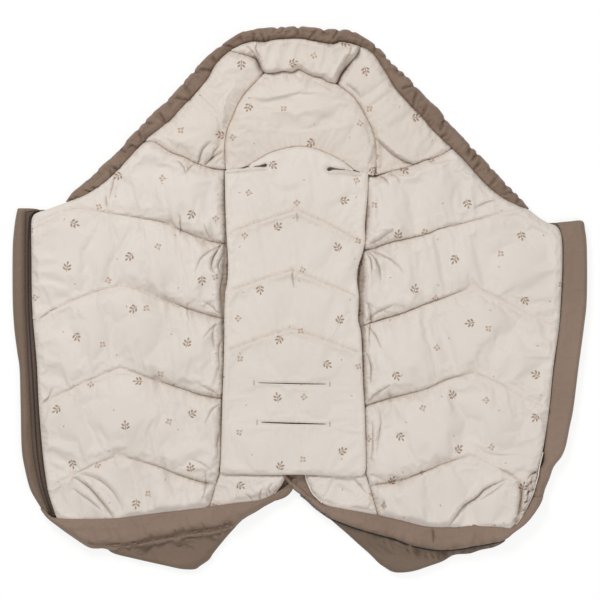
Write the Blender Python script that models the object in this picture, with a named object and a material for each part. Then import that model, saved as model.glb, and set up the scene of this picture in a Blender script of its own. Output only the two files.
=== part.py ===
# Padded footmuff for a pushchair, unzipped all the way and laid flat on its back.
#
# Frame: +X to the right and +Y towards the hood, seen from above, +Z up from the
# floor. The origin is under the middle of the open cover, on the floor. Metres.
#
# The cloth pattern is drafted on squares. A pair in a table of shares is a point
# counted in squares right of and above the middle, and one square is a fixed
# share of the open width, so the whole pattern grows with that width.

import math

import bmesh
import bpy
import numpy as np

for old_object in list(bpy.data.objects):
    bpy.data.objects.remove(old_object, do_unlink=True)


# Driving sizes of the open cover
OPEN_WIDTH = 1.0332
SQUARES_ACROSS_SHARE = 574
SQUARE = OPEN_WIDTH / SQUARES_ACROSS_SHARE

# Heights of the layers
SHELL_THICKNESS = 0.002
LAYER_GAP = 0.0003
WADDING_THICKNESS = 0.0047
LINING_RIM = 0.0085
CHANNEL_CROWN = 0.0265
FOLD_AXIS_HEIGHT = 0.050
CENTRE_LINING_THICKNESS = 0.0120
PANEL_THICKNESS = 0.0105
PANEL_CROWN = 0.0025
BINDING_THICKNESS = 0.0009
HOOD_CROWN = 0.0270
HEAD_RIM = 0.0080
HEAD_CROWN = 0.0150
BOLSTER_CROWN = 0.0290
CASING_RIM = 0.0060
CASING_CROWN = 0.0150
BAND_RIM = 0.0100
BAND_CROWN = 0.0200
POUCH_RIM = 0.0080
POUCH_CROWN = 0.0110
FOOT_RIM = 0.0050
FOOT_CROWN = 0.0060

# Zip
PLACKET_THICKNESS = 0.0040
TAPE_THICKNESS = 0.0012
TAPE_WIDTH = 0.0110
NARROW_TAPE_WIDTH = 0.0070
COIL_WIDTH = 0.0026
COIL_HEIGHT = 0.0018
STOP_LENGTH = 0.0050
STOP_WIDTH = 0.0036
STOP_HEIGHT = 0.0020
SLIDER_WIDTH = 0.0110
SLIDER_LENGTH = 0.0150
SLIDER_PLATE = 0.0012
SLIDER_CORE_WIDTH = 0.0030
SLIDER_CORE_HEIGHT = 0.0030
TAB_WIDTH = 0.0070
TAB_LENGTH = 0.0260
TAB_THICKNESS = 0.0015
TAB_EDGE = 0.0005
PIPING_WIDTH = 0.0030
PIPING_HEIGHT = 0.0085

# Slots for the straps of the seat
SLIT_LENGTH_SHARE = 66
SLIT_WIDTH_SHARE = 4
SHOULDER_SLOT_WIDTH_SHARE = 4.8
BINDING_MARGIN_SHARE = 3
CUT_OVERRUN = 0.004

# How finely the soft pieces are divided
WING_COLUMNS_SHARE = 18
BACK_COLUMNS_SHARE = 7
CHANNEL_ROWS_SHARE = 5
HOOD_COLUMNS_SHARE = 8
HOOD_ROWS_SHARE = 2
CASING_COLUMNS_SHARE = 56
SMALL_COLUMNS_SHARE = 12
SMALL_ROWS_SHARE = 4
PANEL_COLUMNS_SHARE = 10
SMOOTHING_STEPS_SHARE = 6

# Gathers along the elastic edge of the hood
CASING_GATHERS_SHARE = 21
GATHER_DEPTH_SHARE = 0.14

# Where the halves fold over and where the hood and the panel hinge
LEFT_FOLD_SHARE = -135
RIGHT_FOLD_SHARE = 135
FOLD_GAP_SHARE = 0.2
HOOD_HINGE_SHARE = 126.4
PANEL_HINGE_SHARE = 130

# Left half: the lines of quilting from the outer edge to the harness panel
LEFT_TOP_SHARES = [
    (-258, 87), (-234, 95), (-218, 101), (-203, 108), (-188, 119), (-179, 129),
    (-168, 139), (-160, 149), (-153, 157), (-147, 158), (-135, 151), (-129, 147),
    (-105, 136), (-90, 131), (-77, 129),
]
LEFT_SEAM_ONE_SHARES = [
    (-266, 76), (-240, 86), (-220, 92), (-192, 87), (-161, 82), (-135, 77),
    (-117, 69), (-93, 60), (-78, 57),
]
LEFT_SEAM_TWO_SHARES = [
    (-267, -16), (-225, 0), (-178, 15), (-135, 0), (-110, -9), (-78, -19),
]
LEFT_SEAM_THREE_SHARES = [
    (-260, -103), (-215, -82), (-180, -67), (-150, -78), (-123, -87), (-80, -98),
]
LEFT_SEAM_FOUR_SHARES = [
    (-252, -187), (-227, -175), (-181, -155), (-143, -166), (-101, -181), (-84, -184),
]
LEFT_BOTTOM_SHARES = [
    (-242, -215), (-217, -217), (-184, -216), (-151, -212), (-120, -209), (-92, -205),
]

# Right half: the lines of quilting from the harness panel to the outer edge
RIGHT_TOP_SHARES = [
    (72, 123), (88, 126), (104, 130), (124, 138), (135, 142), (145, 146), (151, 149),
    (161, 139), (170, 129), (179, 119), (189, 109), (202, 99), (214, 93), (228, 87),
    (244, 76), (255, 74),
]
RIGHT_SEAM_ONE_SHARES = [
    (68, 50), (89, 57), (127, 66), (140, 71), (172, 79), (204, 86), (219, 86),
    (240, 72), (259, 64),
]
RIGHT_SEAM_TWO_SHARES = [
    (66, -26), (100, -14), (132, -2), (156, 7), (173, 14), (229, -14), (258, -26),
]
RIGHT_SEAM_THREE_SHARES = [
    (68, -107), (84, -100), (124, -89), (148, -79), (174, -72), (219, -95), (248, -109),
]
RIGHT_SEAM_FOUR_SHARES = [
    (70, -186), (98, -180), (135, -167), (170, -155), (206, -172), (231, -184),
]
RIGHT_BOTTOM_SHARES = [
    (78, -212), (119, -221), (135, -224), (164, -225), (195, -226), (214, -221),
    (226, -205),
]

# Hood: lines from the gathered edge to the head panel
LEFT_HOOD_LINES_SHARES = [
    [(-152, 161), (-129, 149), (-105, 138), (-77, 132)],
    [(-127, 181), (-100, 176), (-76, 168)],
    [(-108, 201), (-88, 194), (-69, 184)],
    [(-91, 221), (-76, 213), (-61, 201)],
    [(-77, 240), (-63, 232), (-50, 217)],
    [(-42, 256), (-42, 244), (-41, 232)],
]
RIGHT_HOOD_LINES_SHARES = [
    [(79, 129), (104, 133), (124, 141), (149, 152)],
    [(76, 164), (104, 168), (129, 170)],
    [(68, 183), (90, 189), (111, 191)],
    [(56, 202), (75, 208), (94, 211)],
    [(47, 209), (66, 219), (85, 223)],
    [(39, 218), (58, 230), (78, 236)],
    [(57, 241), (60, 245), (64, 248)],
]
HEAD_LINES_SHARES = [
    [(-75, 137), (-54, 138), (-31, 148), (0, 155), (31, 146), (55, 138), (76, 134)],
    [(-74, 168), (0, 170), (74, 164)],
    [(-67, 183), (0, 188), (66, 183)],
    [(-59, 200), (0, 207), (54, 202)],
    [(-48, 216), (-37, 227), (-16, 226), (-1, 228), (14, 222), (35, 214)],
]
BOLSTER_LINES_SHARES = [
    [(-38, 230), (-16, 229), (-1, 231), (14, 225), (36, 217)],
    [(-39, 257), (-12, 258), (14, 258), (35, 256), (55, 250)],
]
YOKE_SHARES = [
    (-33, 131), (28, 131), (28, 145), (14, 150), (0, 153), (-15, 151), (-33, 145),
]

# Gathered brown edge of the hood and its two tapering ends
CASING_OUTER_SHARES = [
    (-171, 162), (-161, 172), (-141, 192), (-123, 212), (-104, 232), (-84, 252),
    (-57, 268), (-33, 272), (-3, 273), (27, 271), (51, 269), (65, 262), (88, 242),
    (108, 222), (126, 202), (144, 182), (163, 162),
]
CASING_INNER_SHARES = [
    (-154, 162), (-140, 172), (-119, 192), (-100, 212), (-87, 232), (-64, 252),
    (-38, 259), (0, 260), (40, 258), (62, 252), (83, 232), (95, 212), (113, 192),
    (131, 172), (141, 162),
]
LEFT_END_OUTER_SHARES = [
    (-237, 98), (-233, 104), (-211, 122), (-190, 142), (-172, 161),
]
LEFT_END_INNER_SHARES = [
    (-234, 97), (-225, 101), (-203, 110), (-188, 121), (-179, 131), (-168, 141),
    (-160, 151), (-154, 159),
]
RIGHT_END_OUTER_SHARES = [
    (164, 161), (182, 142), (200, 122), (221, 102), (230, 90),
]
RIGHT_END_INNER_SHARES = [
    (151, 151), (161, 141), (170, 131), (179, 121), (189, 111), (202, 101), (214, 95),
    (228, 89),
]

# Foot end: upper and lower edges of the brown band, and the pouch below it
LEFT_BAND_TOP_SHARES = [
    (-243, -217), (-217, -219), (-184, -218), (-151, -214), (-120, -211),
    (-101, -208), (-66, -203), (-46, -200), (-34, -197), (-22, -190), (-12, -182),
]
LEFT_BAND_LOW_SHARES = [
    (-252, -218), (-241, -228), (-227, -238), (-212, -246), (-164, -242),
    (-135, -237), (-100, -231), (-59, -222), (-37, -209), (-22, -202), (-8, -189),
]
LEFT_POUCH_LOW_SHARES = [
    (-207, -248), (-189, -253), (-170, -258), (-135, -266), (-117, -270),
    (-105, -269), (-91, -258), (-82, -248), (-64, -228),
]
RIGHT_BAND_TOP_SHARES = [
    (-4, -177), (8, -190), (18, -203), (44, -208), (76, -215), (119, -224),
    (135, -227), (164, -228), (199, -229), (217, -223), (230, -204),
]
RIGHT_BAND_LOW_SHARES = [
    (-6, -190), (6, -199), (25, -215), (44, -224), (73, -234), (119, -246),
    (143, -250), (178, -246), (206, -241), (223, -228), (240, -204),
]
RIGHT_POUCH_LOW_SHARES = [
    (36, -224), (51, -238), (62, -248), (73, -258), (84, -268), (100, -273),
    (111, -272), (127, -268), (150, -259), (176, -251), (200, -245),
]
LEFT_FOOT_LINES_SHARES = [
    [(-77, -143), (-48, -143), (-15, -143)],
    [(-85, -202), (-66, -199), (-46, -196), (-37, -191)],
]
FOOT_ENDS_SHARES = (0.5, 0.5)
RIGHT_FOOT_LINES_SHARES = [
    [(14, -143), (40, -143), (65, -143)],
    [(22, -201), (44, -205), (69, -209)],
]

# Outer shell, one outline for each of the four parts that move apart
LEFT_SHELL_SHARES = [
    (-150, 160), (-172, 161), (-190, 142), (-211, 122), (-233, 104), (-239, 97),
    (-259, 90), (-283, 92), (-286, 70), (-287, 40), (-287, 2), (-286, -28),
    (-283, -52), (-281, -90), (-279, -130), (-276, -165), (-271, -188),
    (-262, -206), (-253, -218), (-241, -228), (-227, -238), (-212, -245.6),
    (-164, -241.6), (-135, -236.6),
]
RIGHT_SHELL_SHARES = [
    (150, 151), (164, 161), (182, 142), (200, 122), (221, 102), (232, 89),
    (246, 78), (283, 79), (285, 72), (287, 40), (287, 8), (284, -28), (279, -68),
    (274, -108), (268, -130), (261, -158), (253, -168), (246, -186), (240, -206),
    (223, -228), (206, -240.6), (178, -245.6), (143, -249.6), (135, -249),
]
HOOD_SHELL_LOW_SHARES = [
    (163, 162), (151, 152), (145, 149), (135, 144.5), (124, 140), (104, 138.5),
    (-104, 138.5), (-129, 149), (-150, 161.5), (-171, 162),
]
BACK_SHELL_TOP_SHARES = [
    (-135, 151), (-129, 148), (-104, 137.5), (104, 137.5), (124, 139), (135, 143),
]
BACK_SHELL_LOW_SHARES = [
    (135, -248.6), (119, -245.6), (73, -233.6), (44, -223.6), (25, -214.6),
    (6, -199), (-6, -190), (-22, -202), (-37, -209), (-59, -221.6),
    (-100, -230.6), (-135, -236.6),
]
BACK_WADDING_LOW_SHARES = [
    (135, -225), (119, -221), (76, -212), (44, -205), (22, -201), (14, -143),
    (5, -130), (-9, -130), (-15, -143), (-37, -191), (-66, -199), (-92, -205),
    (-135, -211),
]

# Edge strips and the two halves of the zip
LEFT_PLACKET_SHARES = [
    (-283, 91), (-286, 70), (-287, 40), (-287, 2), (-286, -28), (-283, -52),
    (-281, -90), (-279, -130), (-276, -165), (-271, -188), (-262, -206),
    (-256, -213), (-253, -207), (-263, -184), (-267, -160), (-270, -130),
    (-272, -90), (-274, -50), (-276, 2), (-276, 40), (-275, 89),
]
LEFT_TAPE_SHARES = [
    (-272.6, 86), (-273, 40), (-272.6, 2), (-270.6, -50), (-267.6, -90),
    (-265, -130), (-262, -160), (-258, -184), (-249.6, -206),
]
RIGHT_PLACKET_SHARES = [
    (262, 77.5), (283, 78.5), (285, 72), (287, 40), (287, 8), (284, -28),
    (279, -68), (274, -108), (268, -130), (261, -158), (253, -168), (246, -186),
    (241, -202), (233, -199), (236, -180), (241, -160), (246, -136), (250, -108),
    (254, -75), (258, -45), (261, -10), (263, 20), (263, 50),
]
RIGHT_TAPE_SHARES = [
    (272, 74), (274, 40), (274, 8), (271, -28), (267, -68), (262, -108),
    (255, -134), (250, -156), (245, -166), (239, -186),
]
FOOT_TAPE_SHARES = [(-3, -134), (-26, -187)]
LEFT_PIPING_REACH_SHARES = (14, 4)
RIGHT_PIPING_SHARES = [(11.6, -146), (12.5, -176), (18, -199)]

# Harness panel
PANEL_LINES_SHARES = [
    [(-75, 130), (-5, 130), (65, 130)],
    [(-74, 66), (-3, 90), (64, 56)],
    [(-75, 7), (-8, 30), (59, 3)],
    [(-76, -52), (-8, -28), (63, -54)],
    [(-79, -176), (-5, -175), (66, -175)],
]
PANEL_CROWN_SHARES = [1, 1, 1, 0]
PANEL_ENDS_SHARES = (0.4, 0.4)
CENTRE_LINING_SHARES = [
    (-74, 129), (64, 129), (62, 60), (57, 28), (60, 0), (62, -50), (65, -138),
    (14, -138), (5, -128), (-9, -128), (-15, -138), (-78, -138), (-76, -52),
]
SLIT_CENTRE_SHARE = -6
SLIT_HEIGHTS_SHARES = [-83, -123]
SHOULDER_SLOT_SPANS_SHARES = [(-72, -36), (31, 67)]
SHOULDER_SLOT_HEIGHT_SHARE = 133

LINING_BASE = SHELL_THICKNESS + LAYER_GAP + WADDING_THICKNESS + LAYER_GAP
ON_SHELL = SHELL_THICKNESS + LAYER_GAP
PANEL_BASE = LINING_BASE + CENTRE_LINING_THICKNESS + LAYER_GAP


# Materials
def new_material(name, colour, roughness, metallic):
    made = bpy.data.materials.new(name)
    made.use_nodes = True
    shader = made.node_tree.nodes["Principled BSDF"]
    shader.inputs["Base Color"].default_value = (*colour, 1.0)
    shader.inputs["Roughness"].default_value = roughness
    shader.inputs["Metallic"].default_value = metallic
    return made


def make_materials():
    cream_shares = (0.70, 0.62, 0.55)
    brown_shares = (0.22, 0.16, 0.125)
    band_shares = (0.26, 0.19, 0.15)
    tape_shares = (0.10, 0.075, 0.06)
    coil_shares = (0.03, 0.026, 0.024)
    fill_shares = (0.85, 0.85, 0.83)
    metal_shares = (0.62, 0.60, 0.57)
    matte_share = 0.85
    sheen_share = 0.6
    metal_share = 0.35
    return {
        "lining": new_material("lining", cream_shares, matte_share, 0),
        "shell": new_material("shell", brown_shares, sheen_share, 0),
        "band": new_material("band", band_shares, sheen_share, 0),
        "tape": new_material("tape", tape_shares, matte_share, 0),
        "coil": new_material("coil", coil_shares, sheen_share, 0),
        "wadding": new_material("wadding", fill_shares, matte_share, 0),
        "metal": new_material("metal", metal_shares, metal_share, 1),
    }


# Lines on the cloth pattern
def smooth_line(points):
    """A rounded line through all the points."""
    padded_points = [points[0]] + list(points) + [points[-1]]
    made = []
    for index in range(1, len(padded_points) - 2):
        before, start, end, after = [
            np.array(padded_points[index + step], float) for step in (-1, 0, 1, 2)
        ]
        for step in range(SMOOTHING_STEPS_SHARE):
            t = step / SMOOTHING_STEPS_SHARE
            pull = (end - before) * (t - 2 * t**2 + t**3) / 2
            push = (after - start) * (t**3 - t**2) / 2
            ease = 3 * t**2 - 2 * t**3
            made.append(start * (1 - ease) + end * ease + pull + push)
    made.append(np.array(points[-1], float))
    return np.array(made)


def cut_line(line, low, high):
    """The part of a line between two distances from the middle."""
    if line[0][0] > line[-1][0]:
        line = line[::-1]
    inside = [point for point in line if low < point[0] < high]
    if line[0][0] < low:
        inside.insert(0, np.array([low, np.interp(low, line[:, 0], line[:, 1])]))
    if line[-1][0] > high:
        inside.append(np.array([high, np.interp(high, line[:, 0], line[:, 1])]))
    return np.array(inside)


def spread_points(line, count):
    """Evenly spaced points along a line."""
    steps = np.linalg.norm(np.diff(line, axis=0), axis=1)
    along = np.concatenate([[0.0], np.cumsum(steps)])
    wanted = np.linspace(0.0, along[-1], count + 1)
    across = np.interp(wanted, along, line[:, 0])
    up = np.interp(wanted, along, line[:, 1])
    return np.stack([across, up], axis=1)


# Making closed solids
def finish_object(name, mesh_shape, material, origin, is_round):
    bmesh.ops.remove_doubles(mesh_shape, verts=mesh_shape.verts, dist=LAYER_GAP / 10)
    bmesh.ops.recalc_face_normals(mesh_shape, faces=mesh_shape.faces)
    bmesh.ops.translate(
        mesh_shape, verts=mesh_shape.verts, vec=[-value for value in origin]
    )
    data = bpy.data.meshes.new(name)
    mesh_shape.to_mesh(data)
    mesh_shape.free()
    made = bpy.data.objects.new(name, data)
    bpy.context.scene.collection.objects.link(made)
    made.location = origin
    data.materials.append(material)
    if is_round:
        data.shade_smooth()
        data.set_sharp_from_angle(angle=math.radians(50))
    return made


def flat_plate(name, outline, base, thickness, material, origin):
    """An upright-sided plate over an outline given in squares."""
    shape = bmesh.new()
    low_ring = [
        shape.verts.new((x * SQUARE, y * SQUARE, base)) for x, y in outline
    ]
    high_ring = [
        shape.verts.new((x * SQUARE, y * SQUARE, base + thickness)) for x, y in outline
    ]
    shape.faces.new(low_ring)
    shape.faces.new(high_ring)
    for index in range(len(outline)):
        after = (index + 1) % len(outline)
        shape.faces.new(
            (low_ring[index], low_ring[after], high_ring[after], high_ring[index])
        )
    flat_ends = [face for face in shape.faces if len(face.verts) > 4]
    bmesh.ops.triangulate(shape, faces=flat_ends)
    return finish_object(name, shape, material, origin, False)


def ribbon(name, points, width, base, thickness, material, origin):
    """A plate of one width along a line given in squares."""
    line = np.array(points, float)
    way = np.gradient(line, axis=0)
    way /= np.linalg.norm(way, axis=1)[:, None]
    side = np.stack([-way[:, 1], way[:, 0]], axis=1) * (width / SQUARE / 2)
    outline = np.concatenate([line + side, (line - side)[::-1]])
    return flat_plate(name, outline, base, thickness, material, origin)


def soft_piece(name, lines, columns, rows, base, rim, crowns, ends, material, origin,
               gathers=0):
    """Padding between two or more seam lines, full between them and low on them.

    The pair called ends says what share of the fullness is left at the first
    and last column. A piece that is cut at a fold keeps all of it there.
    """
    rings = [spread_points(line, columns) for line in lines]
    grid = []
    for index in range(len(rings) - 1):
        first_row = 0 if index == 0 else 1
        for row in range(first_row, rows + 1):
            share = row / rows
            fullness = math.sin(math.pi * share) ** 0.7
            line_of_points = []
            for column in range(columns + 1):
                flat = rings[index][column] * (1 - share) + rings[index + 1][column] * share
                reach = column / columns
                start_fade = ends[0] + (1 - ends[0]) * min(1, reach / 0.25) ** 0.6
                end_fade = ends[1] + (1 - ends[1]) * min(1, (1 - reach) / 0.25) ** 0.6
                ripple = 1 + GATHER_DEPTH_SHARE * math.sin(2 * math.pi * gathers * reach)
                height = crowns[index] * fullness * start_fade * end_fade
                if gathers:
                    height *= ripple
                line_of_points.append(
                    (flat[0] * SQUARE, flat[1] * SQUARE, base + rim + height)
                )
            grid.append(line_of_points)
    shape = bmesh.new()
    top = [[shape.verts.new(point) for point in line] for line in grid]
    for row in range(len(top) - 1):
        for column in range(columns):
            shape.faces.new(
                (top[row][column], top[row][column + 1],
                 top[row + 1][column + 1], top[row + 1][column])
            )
    border = list(top[0])
    border += [line[-1] for line in top[1:]]
    border += top[-1][-2::-1]
    border += [line[0] for line in top[-2:0:-1]]
    foot = [shape.verts.new((vert.co.x, vert.co.y, base)) for vert in border]
    for index in range(len(border)):
        after = (index + 1) % len(border)
        shape.faces.new((border[index], border[after], foot[after], foot[index]))
    if gathers:
        under = strip_underside(shape, foot, columns, len(top) - 1)
    else:
        under = [shape.faces.new(foot)]
    bmesh.ops.triangulate(shape, faces=under)
    return finish_object(name, shape, material, origin, True)


def strip_underside(shape, foot, columns, rows):
    """Closes the underside of a long bent piece, one patch for each column."""
    corner = columns + rows
    made = []
    for column in range(columns):
        patch = [foot[column], foot[column + 1]]
        if column == columns - 1:
            patch += foot[columns + 1:corner]
        patch += [foot[corner + columns - column - 1], foot[corner + columns - column]]
        if column == 0:
            patch += foot[corner + columns + 1:]
        made.append(shape.faces.new(patch))
    return made


def cut_out(target, boxes):
    """Cuts upright slots, given as ranges in squares, right through a piece."""
    for index, (low_x, low_y, high_x, high_y) in enumerate(boxes):
        shape = bmesh.new()
        bmesh.ops.create_cube(shape, size=1)
        cutter_data = bpy.data.meshes.new(f"cut_{target.name}_{index}")
        shape.to_mesh(cutter_data)
        shape.free()
        cutter = bpy.data.objects.new(cutter_data.name, cutter_data)
        bpy.context.scene.collection.objects.link(cutter)
        cutter.scale = (
            (high_x - low_x) * SQUARE,
            (high_y - low_y) * SQUARE,
            FOLD_AXIS_HEIGHT + CUT_OVERRUN + CUT_OVERRUN,
        )
        cutter.location = (
            (low_x + high_x) / 2 * SQUARE,
            (low_y + high_y) / 2 * SQUARE,
            FOLD_AXIS_HEIGHT / 2,
        )
        cutter.hide_render = True
        cutter.display_type = "WIRE"
        cut = target.modifiers.new(f"slot_{index}", "BOOLEAN")
        cut.operation = "DIFFERENCE"
        cut.solver = "EXACT"
        cut.object = cutter


def box_solid(shape, centre, size, turn):
    """Adds one block, turned about the upright axis, to a shape."""
    made = bmesh.ops.create_cube(shape, size=1)["verts"]
    bmesh.ops.scale(shape, vec=size, verts=made)
    for vert in made:
        x, y, z = vert.co
        vert.co.x = centre[0] + x * math.cos(turn) - y * math.sin(turn)
        vert.co.y = centre[1] + x * math.sin(turn) + y * math.cos(turn)
        vert.co.z = centre[2] + z
    return made


def crotch_boxes():
    half = SLIT_LENGTH_SHARE / 2
    return [
        (SLIT_CENTRE_SHARE - half, height - SLIT_WIDTH_SHARE / 2,
         SLIT_CENTRE_SHARE + half, height + SLIT_WIDTH_SHARE / 2)
        for height in SLIT_HEIGHTS_SHARES
    ]


def shoulder_boxes():
    half = SHOULDER_SLOT_WIDTH_SHARE / 2
    return [
        (low, SHOULDER_SLOT_HEIGHT_SHARE - half, high, SHOULDER_SLOT_HEIGHT_SHARE + half)
        for low, high in SHOULDER_SLOT_SPANS_SHARES
    ]


# The two halves that fold over the front
def wing_lines(side):
    if side == "left":
        tables = [
            LEFT_TOP_SHARES, LEFT_SEAM_ONE_SHARES, LEFT_SEAM_TWO_SHARES,
            LEFT_SEAM_THREE_SHARES, LEFT_SEAM_FOUR_SHARES, LEFT_BOTTOM_SHARES,
        ]
    else:
        tables = [
            RIGHT_TOP_SHARES, RIGHT_SEAM_ONE_SHARES, RIGHT_SEAM_TWO_SHARES,
            RIGHT_SEAM_THREE_SHARES, RIGHT_SEAM_FOUR_SHARES, RIGHT_BOTTOM_SHARES,
        ]
    return [smooth_line(table) for table in tables]


def outline_between(lines):
    """The border of the area from the first line to the last."""
    left_side = [line[0] for line in lines[1:-1]]
    right_side = [line[-1] for line in lines[1:-1]]
    return list(lines[0]) + right_side + list(lines[-1][::-1]) + left_side[::-1]


def make_wings(kinds, left_origin, right_origin):
    crowns = [CHANNEL_CROWN * 0.75, CHANNEL_CROWN, CHANNEL_CROWN, CHANNEL_CROWN,
              CHANNEL_CROWN * 0.7]
    back_origin = (0, 0, 0)
    far = SQUARES_ACROSS_SHARE
    left_low = LEFT_FOLD_SHARE - FOLD_GAP_SHARE
    left_high = LEFT_FOLD_SHARE + FOLD_GAP_SHARE
    right_low = RIGHT_FOLD_SHARE - FOLD_GAP_SHARE
    right_high = RIGHT_FOLD_SHARE + FOLD_GAP_SHARE
    plans = [
        ("left_front", "left", -far, left_low, WING_COLUMNS_SHARE, (0.2, 1), left_origin),
        ("left_back", "left", left_high, far, BACK_COLUMNS_SHARE, (1, 0.25), back_origin),
        ("right_back", "right", -far, right_low, BACK_COLUMNS_SHARE, (0.25, 1),
         back_origin),
        ("right_front", "right", right_high, far, WING_COLUMNS_SHARE, (1, 0.2),
         right_origin),
    ]
    for name, side, low, high, columns, ends, origin in plans:
        lines = [cut_line(line, low, high) for line in wing_lines(side)]
        soft_piece(
            f"{name}_quilt", lines, columns, CHANNEL_ROWS_SHARE, LINING_BASE,
            LINING_RIM, crowns, ends, kinds["lining"], origin,
        )
        if "front" in name:
            flat_plate(
                f"{name}_wadding", outline_between(lines), ON_SHELL,
                WADDING_THICKNESS, kinds["wadding"], origin,
            )


def make_front_shells(kinds, left_origin, right_origin):
    left_top = cut_line(smooth_line(LEFT_TOP_SHARES), LEFT_SHELL_SHARES[0][0],
                        LEFT_FOLD_SHARE - FOLD_GAP_SHARE)
    right_top = cut_line(smooth_line(RIGHT_TOP_SHARES), RIGHT_FOLD_SHARE + FOLD_GAP_SHARE,
                         RIGHT_SHELL_SHARES[0][0])
    left_outline = [(left_top[-1][0], left_top[-1][1])] + list(LEFT_SHELL_SHARES)
    left_outline[-1] = (left_top[-1][0], LEFT_SHELL_SHARES[-1][1])
    right_outline = [(right_top[0][0], right_top[0][1])] + list(RIGHT_SHELL_SHARES)
    right_outline[-1] = (right_top[0][0], RIGHT_SHELL_SHARES[-1][1])
    flat_plate("left_front_shell", left_outline, 0, SHELL_THICKNESS, kinds["shell"],
               left_origin)
    flat_plate("right_front_shell", right_outline, 0, SHELL_THICKNESS, kinds["shell"],
               right_origin)


def make_edge_strips(kinds, left_origin, right_origin):
    coil_base = ON_SHELL + TAPE_THICKNESS + LAYER_GAP
    flat_plate("left_placket", LEFT_PLACKET_SHARES, ON_SHELL, PLACKET_THICKNESS,
               kinds["shell"], left_origin)
    ribbon("left_zip_tape", LEFT_TAPE_SHARES, NARROW_TAPE_WIDTH, ON_SHELL,
           TAPE_THICKNESS, kinds["tape"], left_origin)
    ribbon("left_zip_coil", LEFT_TAPE_SHARES[1:], COIL_WIDTH, coil_base, COIL_HEIGHT,
           kinds["coil"], left_origin)
    ribbon("right_zip_tape", RIGHT_TAPE_SHARES, TAPE_WIDTH, ON_SHELL, TAPE_THICKNESS,
           kinds["tape"], right_origin)
    ribbon("right_zip_coil", RIGHT_TAPE_SHARES[1:], COIL_WIDTH, coil_base, COIL_HEIGHT,
           kinds["coil"], right_origin)
    placket_base = coil_base + COIL_HEIGHT + LAYER_GAP
    flat_plate("right_placket", RIGHT_PLACKET_SHARES, placket_base, PLACKET_THICKNESS,
               kinds["band"], right_origin)
    shape = bmesh.new()
    stop_x = LEFT_TAPE_SHARES[0][0] * SQUARE
    stop_y = LEFT_TAPE_SHARES[0][1] * SQUARE - STOP_LENGTH
    stop_z = coil_base + STOP_HEIGHT / 2
    box_solid(shape, (stop_x, stop_y, stop_z), (STOP_WIDTH, STOP_LENGTH, STOP_HEIGHT), 0)
    finish_object("left_top_stop", shape, kinds["metal"], left_origin, False)


# The foot end
def make_foot(kinds, left_origin, right_origin):
    back_origin = (0, 0, 0)
    far = SQUARES_ACROSS_SHARE
    left_band = [smooth_line(LEFT_BAND_TOP_SHARES), smooth_line(LEFT_BAND_LOW_SHARES)]
    right_band = [smooth_line(RIGHT_BAND_TOP_SHARES), smooth_line(RIGHT_BAND_LOW_SHARES)]
    left_pouch = smooth_line(LEFT_POUCH_LOW_SHARES)
    right_pouch = smooth_line(RIGHT_POUCH_LOW_SHARES)
    below_band = np.array([0, -FOLD_GAP_SHARE])
    plans = [
        ("left_front", left_band, left_pouch, -far, LEFT_FOLD_SHARE - FOLD_GAP_SHARE,
         left_origin),
        ("left_back", left_band, left_pouch, LEFT_FOLD_SHARE + FOLD_GAP_SHARE, far,
         back_origin),
        ("right_back", right_band, right_pouch, -far, RIGHT_FOLD_SHARE - FOLD_GAP_SHARE,
         back_origin),
        ("right_front", right_band, right_pouch, RIGHT_FOLD_SHARE + FOLD_GAP_SHARE, far,
         right_origin),
    ]
    for name, band, pouch, low, high, origin in plans:
        lines = [cut_line(line, low, high) for line in band]
        soft_piece(f"{name}_foot_band", lines, SMALL_COLUMNS_SHARE, SMALL_ROWS_SHARE,
                   ON_SHELL, BAND_RIM, [BAND_CROWN], (0.3, 0.3) if far in (low, high)
                   else (0.5, 0.5), kinds["band"], origin)
        pouch_low = max(low, pouch[0][0])
        pouch_high = min(high, pouch[-1][0])
        lines = [
            cut_line(band[1] + below_band, pouch_low, pouch_high),
            cut_line(pouch, low, high),
        ]
        soft_piece(f"{name}_pouch", lines, SMALL_COLUMNS_SHARE, SMALL_ROWS_SHARE, 0,
                   POUCH_RIM, [POUCH_CROWN], (1, 1), kinds["shell"], origin)
    for name, table in (("left", LEFT_FOOT_LINES_SHARES), ("right", RIGHT_FOOT_LINES_SHARES)):
        lines = [smooth_line(points) for points in table]
        soft_piece(f"{name}_foot_quilt", lines, SMALL_COLUMNS_SHARE, CHANNEL_ROWS_SHARE,
                   LINING_BASE, FOOT_RIM, [FOOT_CROWN], FOOT_ENDS_SHARES, kinds["lining"],
                   back_origin)
    ribbon("left_foot_piping", left_piping_line(), PIPING_WIDTH, ON_SHELL,
           PIPING_HEIGHT, kinds["lining"], back_origin)
    ribbon("right_foot_piping", RIGHT_PIPING_SHARES, PIPING_WIDTH, ON_SHELL,
           PIPING_HEIGHT, kinds["lining"], back_origin)


def left_piping_line():
    """The piping lies beside the zip, clear of the slider that runs past it."""
    start, end = np.array(FOOT_TAPE_SHARES, float)
    way = (end - start) / np.linalg.norm(end - start)
    side = np.array([way[1], -way[0]])
    clear = (SLIDER_WIDTH + PIPING_WIDTH) / 2 + LAYER_GAP
    late, beyond = LEFT_PIPING_REACH_SHARES
    return [
        tuple(start + way * late + side * clear / SQUARE),
        tuple(end + way * beyond + side * clear / SQUARE),
    ]


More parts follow.
